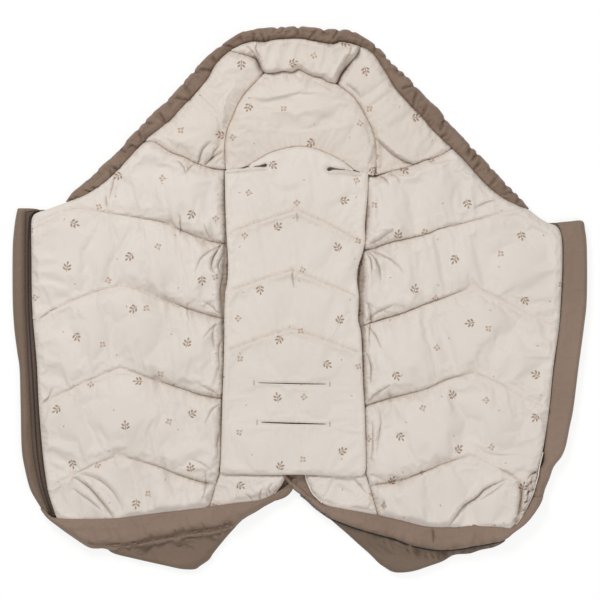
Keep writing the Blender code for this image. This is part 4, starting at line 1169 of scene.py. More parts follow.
RIGHT_CREASES = [
    (34, 50, (517, 480), (521, 494), (520, 508), (515, 524)),
    (17, 50, (538, 471), (531, 474), (527, 479)), (17, 46, (537, 480), (530, 483), (525, 489)),
    (17, 50, (534, 490), (528, 492), (524, 497)), (17, 44, (531, 500), (526, 501), (522, 504)),
    (17, 40, (526, 510), (522, 510), (518, 512)), (22, 34, (498, 468), (510, 474), (517, 480)),
    (20, 44, (364, 249), (374, 258), (380, 270), (381, 284)),
    (22, 34, (364, 249), (378, 254), (396, 264), (404, 274)),
    (20, 28, (365, 246), (378, 240), (394, 230)), (20, 28, (364, 322), (378, 312), (394, 304)),
    (20, 36, (365, 326), (376, 336), (382, 350)), (20, 28, (366, 404), (378, 392), (392, 384)),
    (20, 40, (372, 174), (384, 178), (390, 188)), (18, 30, (384, 172), (394, 176), (402, 186)),
    (18, 28, (474, 208), (486, 202), (497, 200)), (22, 46, (366, 252), (371, 262), (372, 276)),
    (26, 44, (368, 300), (371, 318), (368, 345)), (24, 50, (367, 352), (371, 366), (370, 384)),
    (24, 24, (384, 256), (387, 272), (384, 292)), (26, 18, (400, 252), (404, 270), (402, 290)),
    (28, 14, (418, 246), (420, 262), (417, 282)), (26, 26, (376, 178), (379, 200), (377, 222)),
    (26, 18, (396, 182), (399, 204)), (18, 26, (432, 158), (438, 172), (436, 186)),
    (26, 26, (380, 320), (384, 338), (380, 360)), (28, 18, (398, 318), (401, 338), (398, 356)),
    (26, 28, (378, 404), (381, 424), (378, 450)), (26, 16, (394, 402), (397, 420)),
    (22, 36, (372, 420), (373, 444), (371, 462)),
    (26, 70, (447, 527), (459, 510), (466, 504), (477, 497), (486, 488), (508, 478)),
    (26, 30, (478, 500), (492, 492), (506, 481)),
    (26, 64, (519, 480), (522, 492), (519, 506), (516, 519)),
    (20, 50, (528, 484), (527, 497), (522, 508)), (18, 36, (535, 470), (531, 480), (533, 490)),
    (20, 26, (529, 462), (522, 470), (516, 476)), (22, 22, (414, 505), (416, 516), (415, 526)),
    (24, 18, (424, 503), (427, 515), (427, 527)), (22, 20, (392, 496), (398, 506)),
    (18, 30, (384, 500), (381, 510))]


def half_heights(net, side):
    """Starting heights of one half: deep seams by the panel, shallow at the edge."""
    flat_x, flat_y = net.points[:, 0], net.points[:, 1]
    on_right = side > 0
    x = np.abs(flat_x)
    out = ease(x, 90 * SQUARE, 225 * SQUARE)
    foot = ease(-flat_y, 150 * SQUARE, 215 * SQUARE)
    seam_z = 0.0150 + 0.0105 * out
    if on_right:
        seam_z += 0.0030 * ease(x, 80 * SQUARE, 125 * SQUARE)
    full_z = 0.0365 - 0.0080 * out - 0.004 * foot
    by_border = net.to_border < net.to_seam
    border_z = 0.0125 + 0.0060 * ease(x, 78 * SQUARE, 100 * SQUARE)
    border_z += 0.0010 * ease(flat_y, 120 * SQUARE, 150 * SQUARE)
    low_z = np.where(by_border, border_z, seam_z)
    reach = np.where(by_border, 0.026 - 0.008 * out, 0.030 - 0.004 * out)
    heights = low_z + (full_z - low_z) * crown(net.gap, reach)
    across = wander(flat_x + 0.22 * flat_y, 0.0085, 5 + side)
    across += 0.8 * wander(flat_x - 0.15 * flat_y, 0.019, 15 + side)
    across += 0.9 * valleys(flat_x + 0.1 * flat_y, 0.024, 45 + side, 6.0)
    pucker = (0.0020 - 0.0006 * on_right) * (1.15 - out) * across
    pucker *= np.exp(-net.to_seam / (0.018 - 0.006 * on_right))
    pucker *= ease(net.gap, 0.0, 0.006)
    # Painted shade in the pucker valleys.
    net.paint_shade(np.clip(-pucker / 0.0050, 0.0, 0.4))
    edge_wave = 0.0010 * wander(flat_y, 0.016, 25 + side)
    edge_wave *= np.exp(-net.to_border / 0.016) * ease(net.gap, 0.0, 0.006)
    broad = 0.0016 * rolling(net.points, 0.045, 0.085, 35 + side) * ease(net.gap, 0, 0.02)
    return heights + pucker + edge_wave + broad


left_net = Net(joined(LEFT_RIM_EDGE, LEFT_CASING_EDGE, LEFT_NECK, LEFT_INNER[::-1],
                      LEFT_FOOT_SEAM[::-1], LEFT_BOTTOM[::-1], LEFT_OUTER[::-1]),
               [peaked(seam) for seam in LEFT_SEAMS], seed=2,
               folds=fold_lines(LEFT_CREASES))
right_net = Net(joined(RIGHT_NECK, RIGHT_CASING_EDGE, RIGHT_RIM_EDGE, RIGHT_OUTER,
                       RIGHT_BOTTOM, RIGHT_FOOT_SEAM, RIGHT_INNER),
                [peaked(seam) for seam in RIGHT_SEAMS], seed=3,
                folds=fold_lines(RIGHT_CREASES))
BAND_LINE_LEFT = [(-244, -218), (-217, -219), (-184, -218), (-151, -214), (-101, -208),
                  (-66, -203)]
BAND_LINE_RIGHT = [
    (44, -208.6), (76, -214.7), (100, -220), (122, -225.6), (133, -227), (159, -227), (202, -227.2),
    (215.6, -225.2)]
z_left = half_heights(left_net, -1)
z_right = half_heights(right_net, 1)
CORNER_LINE = smooth_line([
    (243.4, -148), (239, -166), (236, -182), (232.4, -197), (226, -210), (220, -220)])
by_corner, along = distance_to(right_net.points, CORNER_LINE)
corner = valleys(along + 0.15 * right_net.points[:, 0], 0.0075, 47) * np.exp(
    -by_corner / 0.016) * ease(by_corner, 0.0, 0.004) * ease(along, 0.015, 0.04)
z_right += 0.0036 * corner
# Painted shade in the corner's pucker valleys.
right_net.paint_shade(np.clip(-1.1 * corner - 0.15, 0.0, 0.6))
QUILTED = {"growth": 0.055, "pressure": 5.0, "cap": 0.009}
prepare("left_half", left_net, z_left, creases=LEFT_CREASES, free=0.006,
        guard=keep_low(-1, BAND_LINE_LEFT, 0.0215), **QUILTED)
prepare("right_half", right_net, z_right, creases=RIGHT_CREASES, free=0.005,
        guard=keep_low(1, BAND_LINE_RIGHT, 0.0215), **QUILTED)
shade_by_panel(left_net, -1)
shade_by_panel(right_net, 1)
print("halves of", len(left_net.points), "and", len(right_net.points), "points")

# %% [markdown]
# ## The hood lining
# The hood is a soft cap. Two side pieces run from the gathered edge to the head
# panel, and a stuffed bolster lies across the top. The left side falls in long
# diagonal folds, and on the right one roll of cloth lies over a flat triangle.

# %% Nets of the hood
LEFT_HOOD_CREASES = [
    (34, 26, (237, 107), (228, 120), (223, 134), (219, 150)),
    (20, 42, (187, 157), (197, 164), (202, 150), (211, 141)), (30, 20, (201, 94), (212, 90), (226, 89)),
    (36, 22, (163, 138), (178, 128), (193, 120)), (18, 32, (210, 163), (214, 152), (220, 144)),
    (24, 50, (224, 150), (212, 158), (204, 166), (200, 172)),
    (34, 26, (222, 128), (220, 142), (210, 152)), (30, 14, (172, 130), (192, 133), (210, 126)),
    (30, 14, (198, 80), (214, 80), (230, 76)), (30, 14, (205, 62), (222, 66), (240, 64)),
    (24, 16, (158, 143), (175, 146), (190, 150)), (20, 34, (250, 54), (258, 62), (262, 70)),
    (20, 30, (196, 168), (190, 160), (178, 158))]
RIGHT_HOOD_CREASES = [
    (20, 48, (374, 136), (384, 147), (399, 158), (416, 164), (432, 160)),
    (26, 24, (387, 99), (394, 104), (404, 104)), (26, 24, (378, 120), (386, 126), (393, 128)),
    (24, 22, (428, 128), (436, 138), (446, 142)), (26, 18, (383, 78), (394, 84), (400, 96)),
    (28, 14, (404, 88), (398, 100), (400, 112)), (28, 14, (380, 112), (392, 120), (404, 122)),
    (26, 18, (360, 58), (366, 70), (368, 84)), (20, 28, (345, 84), (352, 88), (362, 98)),
    (26, 14, (420, 110), (418, 124), (426, 134))]
HEAD_CREASES = [
    (42, 24, (290, 75), (308, 79), (334, 89), (355, 102)),
    (44, 24, (293, 95), (316, 97), (340, 108), (361, 123)), (40, 20, (288, 114), (313, 117), (343, 127)),
    (42, 22, (246, 105), (266, 105), (284, 102), (302, 106)), (24, 24, (250, 84), (262, 82), (276, 77)),
    (34, 20, (232, 132), (246, 132), (262, 136)), (20, 18, (286, 73), (292, 84), (304, 92)),
    (20, 20, (262, 74), (268, 84), (280, 92)), (20, 18, (312, 78), (324, 88), (340, 96)),
    (20, 20, (236, 124), (250, 121), (268, 124)), (20, 20, (368, 118), (356, 122), (344, 120)),
    (20, 18, (232, 150), (246, 146), (256, 150))]
BOLSTER_CREASES = [
    (20, 18, (278, 74), (280, 66), (276, 60)), (20, 18, (318, 74), (316, 66), (320, 60)),
    (18, 40, (258, 42), (256, 50), (259, 58)), (16, 28, (246, 46), (252, 52), (256, 58)),
    (16, 20, (250, 44), (256, 50)), (22, 34, (352, 42), (349, 56), (342, 68)),
    (18, 16, (298, 60), (299, 68))]
BOLSTER_ENDS = [traced([(254, 56), (259, 63), (260, 69), (265, 75)]),
                traced([(350, 60), (345, 68), (340, 75), (336, 84)])]


def at_bolster_ends(net):
    """Both ends of the bolster are pulled down hard, with painted shade on the cloth there."""
    gap = gap_to(net.points, *BOLSTER_ENDS)
    net.paint_shade(0.95 * bell(gap, 0.0022))
    return 0.0075 * bell(gap, 0.006)


left_hood_net = Net(joined(LEFT_NECK[::-1], RIM_LEFT, BOLSTER_LEFT[::-1], HEAD_LEFT[::-1]),
                    step=0.0042, seed=5, folds=fold_lines(LEFT_HOOD_CREASES))
p = left_hood_net.points
z = soft_heights(left_hood_net, 0.0175, 0.0300, 0.028, 51, 0.0014, wave=0.011,
                 ways=(0.7, 0.7), broad=0.0022)
z += ridge(p, [(236, 84), (226, 100), (222, 118), (224, 140)], 0.0030, -1.0, 0.010)
z -= at_bolster_ends(left_hood_net)
prepare("left_hood", left_hood_net, z, growth=0.045, pressure=3.0, cap=0.007,
        creases=LEFT_HOOD_CREASES, free=0.005)

right_hood_net = Net(joined(RIM_RIGHT, RIGHT_NECK[:0:-1], HEAD_RIGHT[::-1],
                            BOLSTER_RIGHT), step=0.0042, seed=6,
                     folds=fold_lines(RIGHT_HOOD_CREASES))
p = right_hood_net.points
z = soft_heights(right_hood_net, 0.0175, 0.0300, 0.028, 61, 0.0012, wave=0.012,
                 ways=(0.6, -0.8), broad=0.0020)
ROLL_EDGE = at_squares([(70, 170), (76, 162), (88, 151), (99, 143), (108, 138), (118, 135.4),
                        (136, 136)])
over = p[:, 1] - np.interp(p[:, 0], ROLL_EDGE[:, 0], ROLL_EDGE[:, 1])
z -= 0.0100 * (1 - ease(over, -0.0015, 0.0035)) * ease(right_hood_net.to_border, 0.0, 0.012)
z += 0.0025 * bell(over - 0.010, 0.008) * ease(p[:, 0] - 0.13, 0.0, 0.02)
z -= at_bolster_ends(right_hood_net)
prepare("right_hood", right_hood_net, z, growth=0.040, pressure=3.0, cap=0.006,
        creases=RIGHT_HOOD_CREASES, free=0.005)

head_net = Net(joined(HEAD_LEFT, BOLSTER_LOW, HEAD_RIGHT,
                      [(74, 124), (66, 126), (55, 129.6)], YOKE_ARCH[::-1],
                      [(-54, 133.4), (-64, 131), (-74, 130)]), step=0.0045, seed=7)
p = head_net.points
arch_line, low_seam = smooth_line(YOKE_ARCH), smooth_line(BOLSTER_LOW)
low = 0.0175 + 0.0035 * bell(gap_to(p, arch_line), 0.008)
low += 0.0085 * (1 - ease(p[:, 1], 132 * SQUARE, 138 * SQUARE)) * ease(
    np.abs(p[:, 0] + 5 * SQUARE), 42 * SQUARE, 52 * SQUARE)
z = soft_heights(head_net, low, 0.0280, 0.032, 71, 0.0010, wave=0.012, ways=(0.2, 1.0))
z += ease(head_net.to_border, 0.0, 0.010) * (
    ridge(p, [(236, 118), (262, 111), (296, 114), (330, 106), (360, 100)], 0.0034, 1.0)
    + ridge(p, [(246, 96), (266, 100), (300, 92), (336, 96)], 0.0026, -1.0)
    + ridge(p, [(230, 138), (252, 130), (300, 134), (352, 126)], 0.0022, 1.0))
gap, along = distance_to(p, low_seam)
z += 0.0016 * valleys(along, 0.008, 76) * np.exp(-gap / 0.012) * ease(gap, 0, 0.005)
prepare("head_panel", head_net, z, growth=0.045, pressure=2.5, cap=0.006,
        creases=HEAD_CREASES, free=0.005)

bolster_net = Net(joined(BOLSTER_LOW[::-1], BOLSTER_LEFT, RIM_TOP, BOLSTER_RIGHT[::-1]),
                  step=0.0042, seed=8, folds=fold_lines(BOLSTER_CREASES))
p = bolster_net.points
roll_gap, along = distance_to(p, low_seam)
z = soft_heights(bolster_net, 0.0200, 0.0360, 0.0110, 81, 0.0010, wave=0.010,
                 ways=(1.0, -0.3), power=0.42)
z += 0.0015 * valleys(along, 0.014, 83) * np.exp(-roll_gap / 0.009) * ease(
    bolster_net.to_border, 0, 0.004)
wedge = ease(p[:, 0], -64 * SQUARE, -38 * SQUARE)
z -= 0.010 * (1 - wedge) * ease(bolster_net.to_border, 0.0, 0.006)
z -= at_bolster_ends(bolster_net)
prepare("bolster", bolster_net, z, growth=0.05, pressure=3.0, cap=0.005,
        creases=BOLSTER_CREASES, free=0.004)
print("hood nets of", len(left_hood_net.points), len(right_hood_net.points),
      len(head_net.points), len(bolster_net.points), "points")

# %% [markdown]
# ## The gathered edge of the hood
# An elastic cord in a brown casing pulls the rim of the hood together, so the
# casing carries far more cloth than its length. Its net is the one with the most
# spare length: 11 per cent of growth makes small, uneven pleats across the casing.
# It is simulated as one strip and then cut in three, because its two tapered ends
# go with the front halves and its middle goes with the hood.

# %% The casing's net
CASING_OUTER = [
    (-234.6, 98), (-229, 106), (-216, 116.4), (-208, 123), (-200, 132), (-190, 140.6), (-176, 154),
    (-172.6, 160), (-161, 172), (-150, 183.4), (-141, 192), (-131, 201), (-118.4, 214.6), (-103, 232.6),
    (-87, 248), (-70, 260.6), (-57, 267.4), (-33, 272), (-3, 273.4), (27, 270.8), (50, 269.4), (65, 262),
    (77.6, 252.6), (93, 236), (108, 222), (126, 202), (139, 190), (150, 175.4), (163, 162), (172, 152.4),
    (182, 142), (200, 122), (212, 110), (221, 101.4), (229.6, 91)]
rim = spread(smooth_line(CASING_OUTER), 0.0018)
rim_along = lengths_along(rim)
way = np.gradient(rim, axis=0)
way /= np.linalg.norm(way, axis=1)[:, None]
out_of_rim = np.column_stack([-way[:, 1], way[:, 0]])
rim_ends = ease(rim_along, 0.0, 0.04) * ease(rim_along[-1] - rim_along, 0.0, 0.04)
dice = np.random.default_rng(97)
pleats = []
at = 0.010
while at < rim_along[-1] - 0.008:
    pleats.append((at, dice.random() < 0.62, dice.uniform(-0.022, 0.016),
                   dice.uniform(0.45, 1.15), dice.uniform(0.45, 1.0)))
    at += dice.uniform(0.012, 0.029)
notches = sum(depth * bell(rim_along - at, 0.0034)
              for at, outside, slant, reach, depth in pleats if outside)
scallop = 0.0020 + 0.0006 * wander(rim_along, 0.0055, 92) - 0.0050 * notches
outer_rim = rim + out_of_rim * (scallop * rim_ends)[:, None]
casing_outline = np.concatenate([outer_rim, joined(
    RIGHT_CASING_EDGE[::-1], RIM_RIGHT[::-1], RIM_TOP[::-1], RIM_LEFT[::-1],
    LEFT_CASING_EDGE[::-1])[1:]])
casing_net = Net(casing_outline, step=0.0025, seed=9)
p = casing_net.points
rim_gap, along = distance_to(p, rim)
inner_line = np.concatenate([smooth_line(t) for t in (
    LEFT_CASING_EDGE, RIM_LEFT, RIM_TOP, RIM_RIGHT, RIGHT_CASING_EDGE)])
inner_gap = gap_to(p, inner_line)
middle = ease(along, 0.10, 0.22) * ease(rim_along[-1] - along, 0.10, 0.22)
full = 0.0225 + 0.0035 * middle
low = 0.0050 + 0.0130 * bell(inner_gap, 0.006)
z = low + (full - low) * crown(casing_net.to_border, 0.0085, 0.55)
line = along + 0.55 * rim_gap * wander(along, 0.045, 96)
across = rim_gap / (rim_gap + inner_gap)
pleat = 0.18 * wander(line, 0.0060, 94) + 0.5 * wander(line, 0.024, 95)
for at, outside, slant, reach, depth in pleats:
    far = across if outside else 1.0 - across
    signed = along - at - slant * far
    fades = ease(reach - far, 0.0, 0.45)
    width = 0.0017 + 0.0024 * far
    hollow = bell(signed, width)
    lip = bell(signed - 2.3 * width, 2.0 * width)
    pleat += depth * fades * (0.9 * lip - 1.1 * hollow)
    # Painted shade in each pleat's hollow.
    casing_net.paint_shade(np.sqrt(depth) * fades * bell(signed, 0.0016))
pleat *= ease(casing_net.to_border, 0.0, 0.002)
prepare("casing", casing_net, z, growth=0.045, pressure=3.0, cap=0.005,
        after=0.0058 * pleat)
casing_net.near = np.column_stack([line, 0.4 * np.minimum(rim_gap, inner_gap)])
casing_net.calm[:] = 1.0
print("casing of", len(casing_net.points), "points and", round(rim_along[-1], 2), "m")

# %% [markdown]
# ## The harness panel
# The panel is a thin quilted apron. Its neck runs on between the two shoulder slots
# into an arched yoke, and its lower hem is free. Two slits for the crotch strap
# cross it. They are holes in the net, so the cloth turns down into them.

# %% The panel's net
PANEL_SEAMS = [
    [(-74, 66), (-40, 78.5), (-3, 90), (30, 75), (64, 56)],
    [(-75, 7), (-40, 20), (-8, 30), (25, 17), (59, 3)],
    [(-76, -52), (-40, -38), (-8, -28), (28, -41), (64, -54)],
]
SLIT_LINES = [[(-43, -82.6), (-30, -83), (-6, -83.5), (10, -83.8), (27, -84)],
              [(-40, -122), (-25, -122.6), (-6, -123.2), (12, -123.6), (27, -124)]]


def slit(line, half):
    """A long thin hole with pointed ends."""
    middle_line = spread(smooth_line(line), 0.004)
    up = half * np.sin(np.pi * np.linspace(0, 1, len(middle_line))) ** 0.35 * SQUARE
    up = np.column_stack([0 * up, up])
    return np.concatenate([middle_line + up, (middle_line - up)[-2:0:-1]])


LEFT_SLOT_LOW = [(-74.4, 130.2), (-62, 132.0), (-50, 133.1), (-43, 133.3), (-38, 133)]
RIGHT_SLOT_LOW = [(33, 130.6), (40, 130.2), (50, 129.4), (62, 128.8), (67, 127.4)]
panel_outline = np.concatenate([
    smooth_line(YOKE_ARCH),
    at_squares([(54, 129.5), (48, 129.8), (40, 130.7), (33.4, 131.9), (30.6, 132.9), (28.0, 132.5),
                (26.6, 131.2), (26.6, 129.6), (28.2, 128.5), (30.8, 129.1)]),
    smooth_line(RIGHT_SLOT_LOW),
    smooth_line([
        (68.4, 125), (68, 108), (66.4, 90), (65, 74), (65.4, 60), (62.4, 46), (57.6, 31), (57.2, 18),
        (58.8, 6), (58.6, -8), (58.2, -20), (61, -32), (62, -50), (63, -80), (64.8, -110), (66, -150),
        (66, -168), (65, -173)]),
    smooth_line([
        (62, -176.4), (42, -176.6), (20, -175.4), (-2, -174.6), (-26, -175), (-50, -174.4), (-70, -173.6),
        (-79.6, -172.8)]),
    smooth_line([
        (-80, -170), (-79, -150), (-78, -110), (-76.6, -72), (-75.8, -40), (-75.6, -10), (-74.6, 8),
        (-72.4, 22), (-72.2, 42), (-73.2, 60), (-74.4, 85), (-75, 108), (-75.2, 128)]),
    smooth_line(LEFT_SLOT_LOW),
    at_squares([(-36.0, 132.7), (-33.8, 132.8), (-32.4, 134.0), (-32.8, 136.0), (-34.8, 136.7),
                (-37.6, 135.0), (-43, 133.8), (-50, 133.4)]),
])
HEM_FOLDS = [smooth_line([(-73, 126.6), (-60, 127.8), (-46, 129), (-34, 129.6)]),
             smooth_line([(30, 126.2), (40, 126), (50, 125.2), (61, 124.4)])]
PANEL_CREASES = [
    (22, 16, (226, 256), (236, 254), (246, 260)), (24, 14, (232, 262), (240, 262), (252, 268)),
    (40, 12, (245, 182), (262, 176), (286, 180)), (20, 10, (258, 192), (262, 206)),
    (14, 34, (292.4, 269), (292.6, 278), (294, 289)), (14, 28, (297, 212), (297.6, 224)),
    (24, 14, (292, 240), (291, 254), (292, 266)), (24, 16, (294, 292), (292, 310), (293, 326)),
    (18, 22, (294, 330), (294, 346)), (36, 16, (240, 176), (252, 186), (256, 198)),
    (40, 24, (262, 178), (274, 188), (290, 192), (306, 184)),
    (22, 22, (226, 252), (234, 258), (242, 260)), (22, 20, (356, 270), (348, 264), (338, 262)),
    (22, 18, (363, 236), (354, 240), (346, 248)), (22, 18, (359, 318), (350, 314), (342, 318)),
    (22, 14, (350, 236), (354, 226), (362, 218)), (22, 14, (348, 292), (354, 282), (358, 270)),
    (22, 12, (238, 296), (248, 306), (254, 320)), (22, 12, (340, 330), (344, 318), (352, 308)),
    (26, 10, (320, 176), (334, 180), (350, 178)), (24, 12, (226, 240), (236, 236), (248, 228)),
    (26, 10, (300, 330), (320, 336), (340, 344))]
panel_net = Net(panel_outline, [peaked(seam) for seam in PANEL_SEAMS],
                holes=[slit(SLIT_LINES[0], 0.30), slit(SLIT_LINES[1], 0.50)], seed=10,
                folds=HEM_FOLDS + fold_lines(PANEL_CREASES))
p = panel_net.points
to_slit = gap_to(p, *(smooth_line(line) for line in SLIT_LINES))
low = np.where(to_slit < 0.006, 0.0296, 0.0258)
z = soft_heights(panel_net, low, 0.0306, 0.011, 101, 0.0005, seam_low=0.0285,
                 wave=0.010, broad=0.0009, fade=0.014, power=0.45)
z -= 0.0046 * bell(gap_to(p, arch_line), 0.010)
slots = gap_to(p, smooth_line(LEFT_SLOT_LOW), smooth_line(RIGHT_SLOT_LOW))
hem_strip = (p[:, 1] < 134 * SQUARE) & (slots < 0.0085)
hem_low = gap_to(p, *HEM_FOLDS)
pressed = 0.0014 * hem_strip * ease(slots, 0.0, 0.002) - 0.0034 * bell(hem_low, 0.0020)
# Painted shade along the hem folds under the slots.
panel_net.deep = 0.28 * bell(hem_low, 0.0024)
hem = ease(p[:, 1], PANEL_HEM, -168 * SQUARE)
z -= 0.0012 * (1 - hem) * ease(panel_net.to_border, 0, 0.003)
z += 0.0010 * wander(p[:, 0], 0.05, 104) * (1 - ease(p[:, 1], PANEL_HEM, -140 * SQUARE))
prepare("panel", panel_net, z, growth=0.022, pressure=1.2, cap=0.003, after=pressed,
        creases=PANEL_CREASES, free=0.004)
print("panel of", len(panel_net.points), "points")

# %% [markdown]
# ## The foot end
# Below the panel the lining ends in two small padded pieces, and the brown foot
# band is folded up over its edge. The band is smooth above and is gathered along a
# narrow stitched strip, with a loose pouch of cloth below. On the right the band
# runs on as a narrow strip that crosses in front of the left one.

# %% Foot lining
LEFT_PIPING = [(-13.6, -154), (-13.6, -170), (-16, -179), (-20, -186.6), (-25.6, -194)]
RIGHT_PIPING = [(5, -154), (5.2, -174), (8, -184), (13, -194), (22, -203)]
LEFT_FOOT_CREASES = [
    (18, 44, (262, 503), (259, 496), (262, 488)), (16, 30, (254, 503), (250, 497), (244, 494)),
    (16, 34, (268, 499), (265, 492)), (18, 30, (273, 497), (268, 489), (272, 482)),
    (14, 20, (246, 504), (240, 500)), (20, 20, (256, 488), (262, 482), (272, 478))]
RIGHT_FOOT_CREASES = [
    (26, 22, (330, 480), (344, 492), (352, 504)), (22, 30, (352, 478), (360, 486), (366, 494)),
    (22, 16, (324, 476), (340, 476), (356, 484)), (20, 18, (334, 486), (346, 490), (358, 500))]
left_foot_net = Net(joined(LEFT_PIPING, [(-25.6, -194), (-32, -200), (-46, -206),
                                         (-66, -210), (-93, -214)],
                           LEFT_FOOT_SEAM, [(-75, -156), (-74, -154), (-13.6, -154)]),
                    step=0.0038, seed=12, folds=fold_lines(LEFT_FOOT_CREASES))
p = left_foot_net.points
z = soft_heights(left_foot_net, 0.0150, 0.0225, 0.016, 121, 0.0008, wave=0.008,
                 ways=(0.7, -0.7))
FOOT_FOLD = px([(272, 470), (263, 477), (250, 482), (240, 489), (232, 499), (226, 510)])
at = np.interp(p[:, 1], FOOT_FOLD[::-1, 1], FOOT_FOLD[::-1, 0])
z += 0.0045 * ease(p[:, 0] - at, -0.0005, 0.004) * ease(left_foot_net.to_border, 0, 0.008)
FOOT = {"growth": 0.06, "pressure": 3.0, "cap": 0.004, "free": 0.003}
prepare("left_foot", left_foot_net, z, creases=LEFT_FOOT_CREASES, guard=keep_low(-1, [
    (-101, -205), (-66, -200), (-44, -197.6), (-34, -194.6), (-22, -188.6)], 0.0185), **FOOT)
right_foot_net = Net(joined([(5, -154), (62.4, -156)], RIGHT_FOOT_SEAM[::-1],
                            [(80, -222), (60, -216), (44, -213), (30, -209), (22, -203)],
                            RIGHT_PIPING[::-1]), step=0.0038, seed=13,
                     folds=fold_lines(RIGHT_FOOT_CREASES))
p = right_foot_net.points
z = soft_heights(right_foot_net, 0.0150, 0.0230, 0.016, 131, 0.0006, wave=0.010,
                 ways=(0.6, -0.8))
by_piping, along = distance_to(p, smooth_line(RIGHT_PIPING))
z += 0.0030 * valleys(along + 0.3 * p[:, 0], 0.0056, 133) * np.exp(
    -by_piping / 0.009) * ease(right_foot_net.to_border, 0, 0.003)
prepare("right_foot", right_foot_net, z, creases=RIGHT_FOOT_CREASES, guard=keep_low(1, [
    (8, -190), (22, -200), (34, -204), (55, -207.8), (76, -211.7), (84, -213)], 0.0185),
        **FOOT)
print("foot lining of", len(left_foot_net.points), "and", len(right_foot_net.points), "points")

# %% Bands and pouches
LEFT_BAND_TOP = [
    (-257, -209), (-251, -215), (-244, -218), (-217, -219), (-184, -218), (-151, -214), (-101, -208),
    (-66, -203), (-44, -200.6), (-34, -197.6), (-22, -191.6), (-12, -184.6), (-5.6, -177)]
LEFT_BAND_LOW = [
    (-261, -207), (-253, -218), (-241, -228), (-227, -238), (-212, -247.6), (-204, -249), (-197, -248.8),
    (-188, -250.8), (-180, -250), (-166, -247.5), (-150, -246), (-138, -244), (-129, -241.5),
    (-123, -243.5), (-115, -239), (-100, -237.5), (-85, -235), (-72, -230.5), (-63, -225.5), (-58, -220),
    (-44, -212.2), (-36, -207), (-28, -202), (-22, -200.4), (-15.5, -198), (-10.6, -194.4),
    (-6.8, -188.8), (-3, -181)]
LEFT_BAND_SEAMS = [[
    (-211, -243.9), (-192, -243.9), (-181, -243.2), (-166, -241.6), (-147, -237.8), (-128, -234.6),
    (-115, -231.4), (-100, -229.5), (-84, -227), (-70, -223)],
                   [(-210, -246.6), (-192, -247), (-181, -246.4), (-164, -244.2), (-142, -239.4),
                    (-121, -235.4), (-100, -232.2), (-82, -229.8), (-66, -224.6)]]
RECESS_EDGE = [(-16, -170), (-12, -177.5), (-0.7, -188), (10.5, -197.2), (20.3, -203.2),
               (26, -206)]
RIGHT_BAND_TOP = [
    (-16, -164), (5, -164), (5.4, -174.7), (7.8, -183.9), (12.6, -193.7), (19, -201), (24.5, -204.4),
    (34, -207), (55, -210.8), (76, -214.7), (100, -220), (122, -225.6), (133, -227), (149, -227.3),
    (159, -227), (170, -225.4), (174, -224), (178, -225.6), (192, -226.6), (202, -227.2), (210.5, -228.4),
    (215.6, -225.2), (220.6, -219.5), (226.2, -210.3), (231, -201.9), (233.6, -196)]
RIGHT_BAND_LOW = [
    (-26, -167), (-18.8, -176), (-6.8, -189.2), (0.7, -195), (8.4, -201), (13, -205.6), (20.3, -211.4),
    (31.5, -218.9), (44, -224), (60, -229.6), (80, -235.4), (94, -238.9), (108, -244.5), (122, -248),
    (136, -250.1), (150, -250.1), (164, -248.7), (178, -246), (192, -243.5), (204.9, -240.3),
    (214.7, -232.6), (225.9, -224.2), (234.3, -214.4), (241.4, -203.1), (244, -195)]
LEFT_POUCH = [
    (-205, -243), (-196, -247.6), (-187, -254), (-170, -258.4), (-150, -263), (-134, -266.5),
    (-119, -269.7), (-105.4, -270), (-100, -266.5), (-91, -260.3), (-87, -254), (-74, -238),
    (-62, -224.6), (-58, -219), (-80, -223), (-100, -226), (-128, -231), (-166, -238), (-190, -240.6)]
RIGHT_POUCH = [
    (16, -203), (20.3, -212), (27.3, -216.8), (34.3, -223.3), (48.4, -235.4), (58.2, -244.4),
    (69.4, -254.2), (79.2, -264), (86.3, -268.9), (92, -272.3), (99.6, -273.4), (113.7, -271.9),
    (129, -267), (143, -262), (154.4, -255.6), (170, -254.2), (181, -250.6), (195, -247.6),
    (205.6, -241.4), (203, -236), (178, -241), (150, -245), (136, -245), (108, -239), (80, -230),
    (44, -218)]
BAND_HOLD = {"growth": 0.05, "pressure": 3.0, "cap": 0.004}
left_band_net = Net(joined(LEFT_BAND_TOP, LEFT_BAND_LOW[::-1]),
                    [smooth_line(seam) for seam in LEFT_BAND_SEAMS], step=0.0040, seed=14)
p = left_band_net.points
by_seam = gap_to(p, smooth_line(LEFT_BAND_SEAMS[0]))
low = 0.0120 + 0.0115 * bell(gap_to(p, smooth_line(LEFT_BAND_TOP)), 0.008)
z = soft_heights(left_band_net, low, 0.0300, 0.016, 141, 0.0003, seam_low=0.0190,
                 wave=0.012, broad=0.0006, power=0.5)
band_pull = ease(p[:, 0], -0.42, -0.27)
ruffle = band_pull * valleys(p[:, 0] + 0.3 * p[:, 1], 0.0090, 143, 2.5) * np.exp(
    -by_seam / 0.010) * ease(left_band_net.gap, 0.0, 0.0022)
z += 0.0034 * ruffle
# Painted shade in the ruffle valleys and along the gathered seam.
left_band_net.deep = np.clip(-0.9 * ruffle - 0.1, 0.0, 0.7) + 0.35 * band_pull * bell(
    left_band_net.to_seam, 0.0012)
z -= 0.009 * ease(p[:, 0], -0.11, -0.02) * ease(left_band_net.to_border, 0, 0.004)
prepare("left_band", left_band_net, z, **BAND_HOLD)

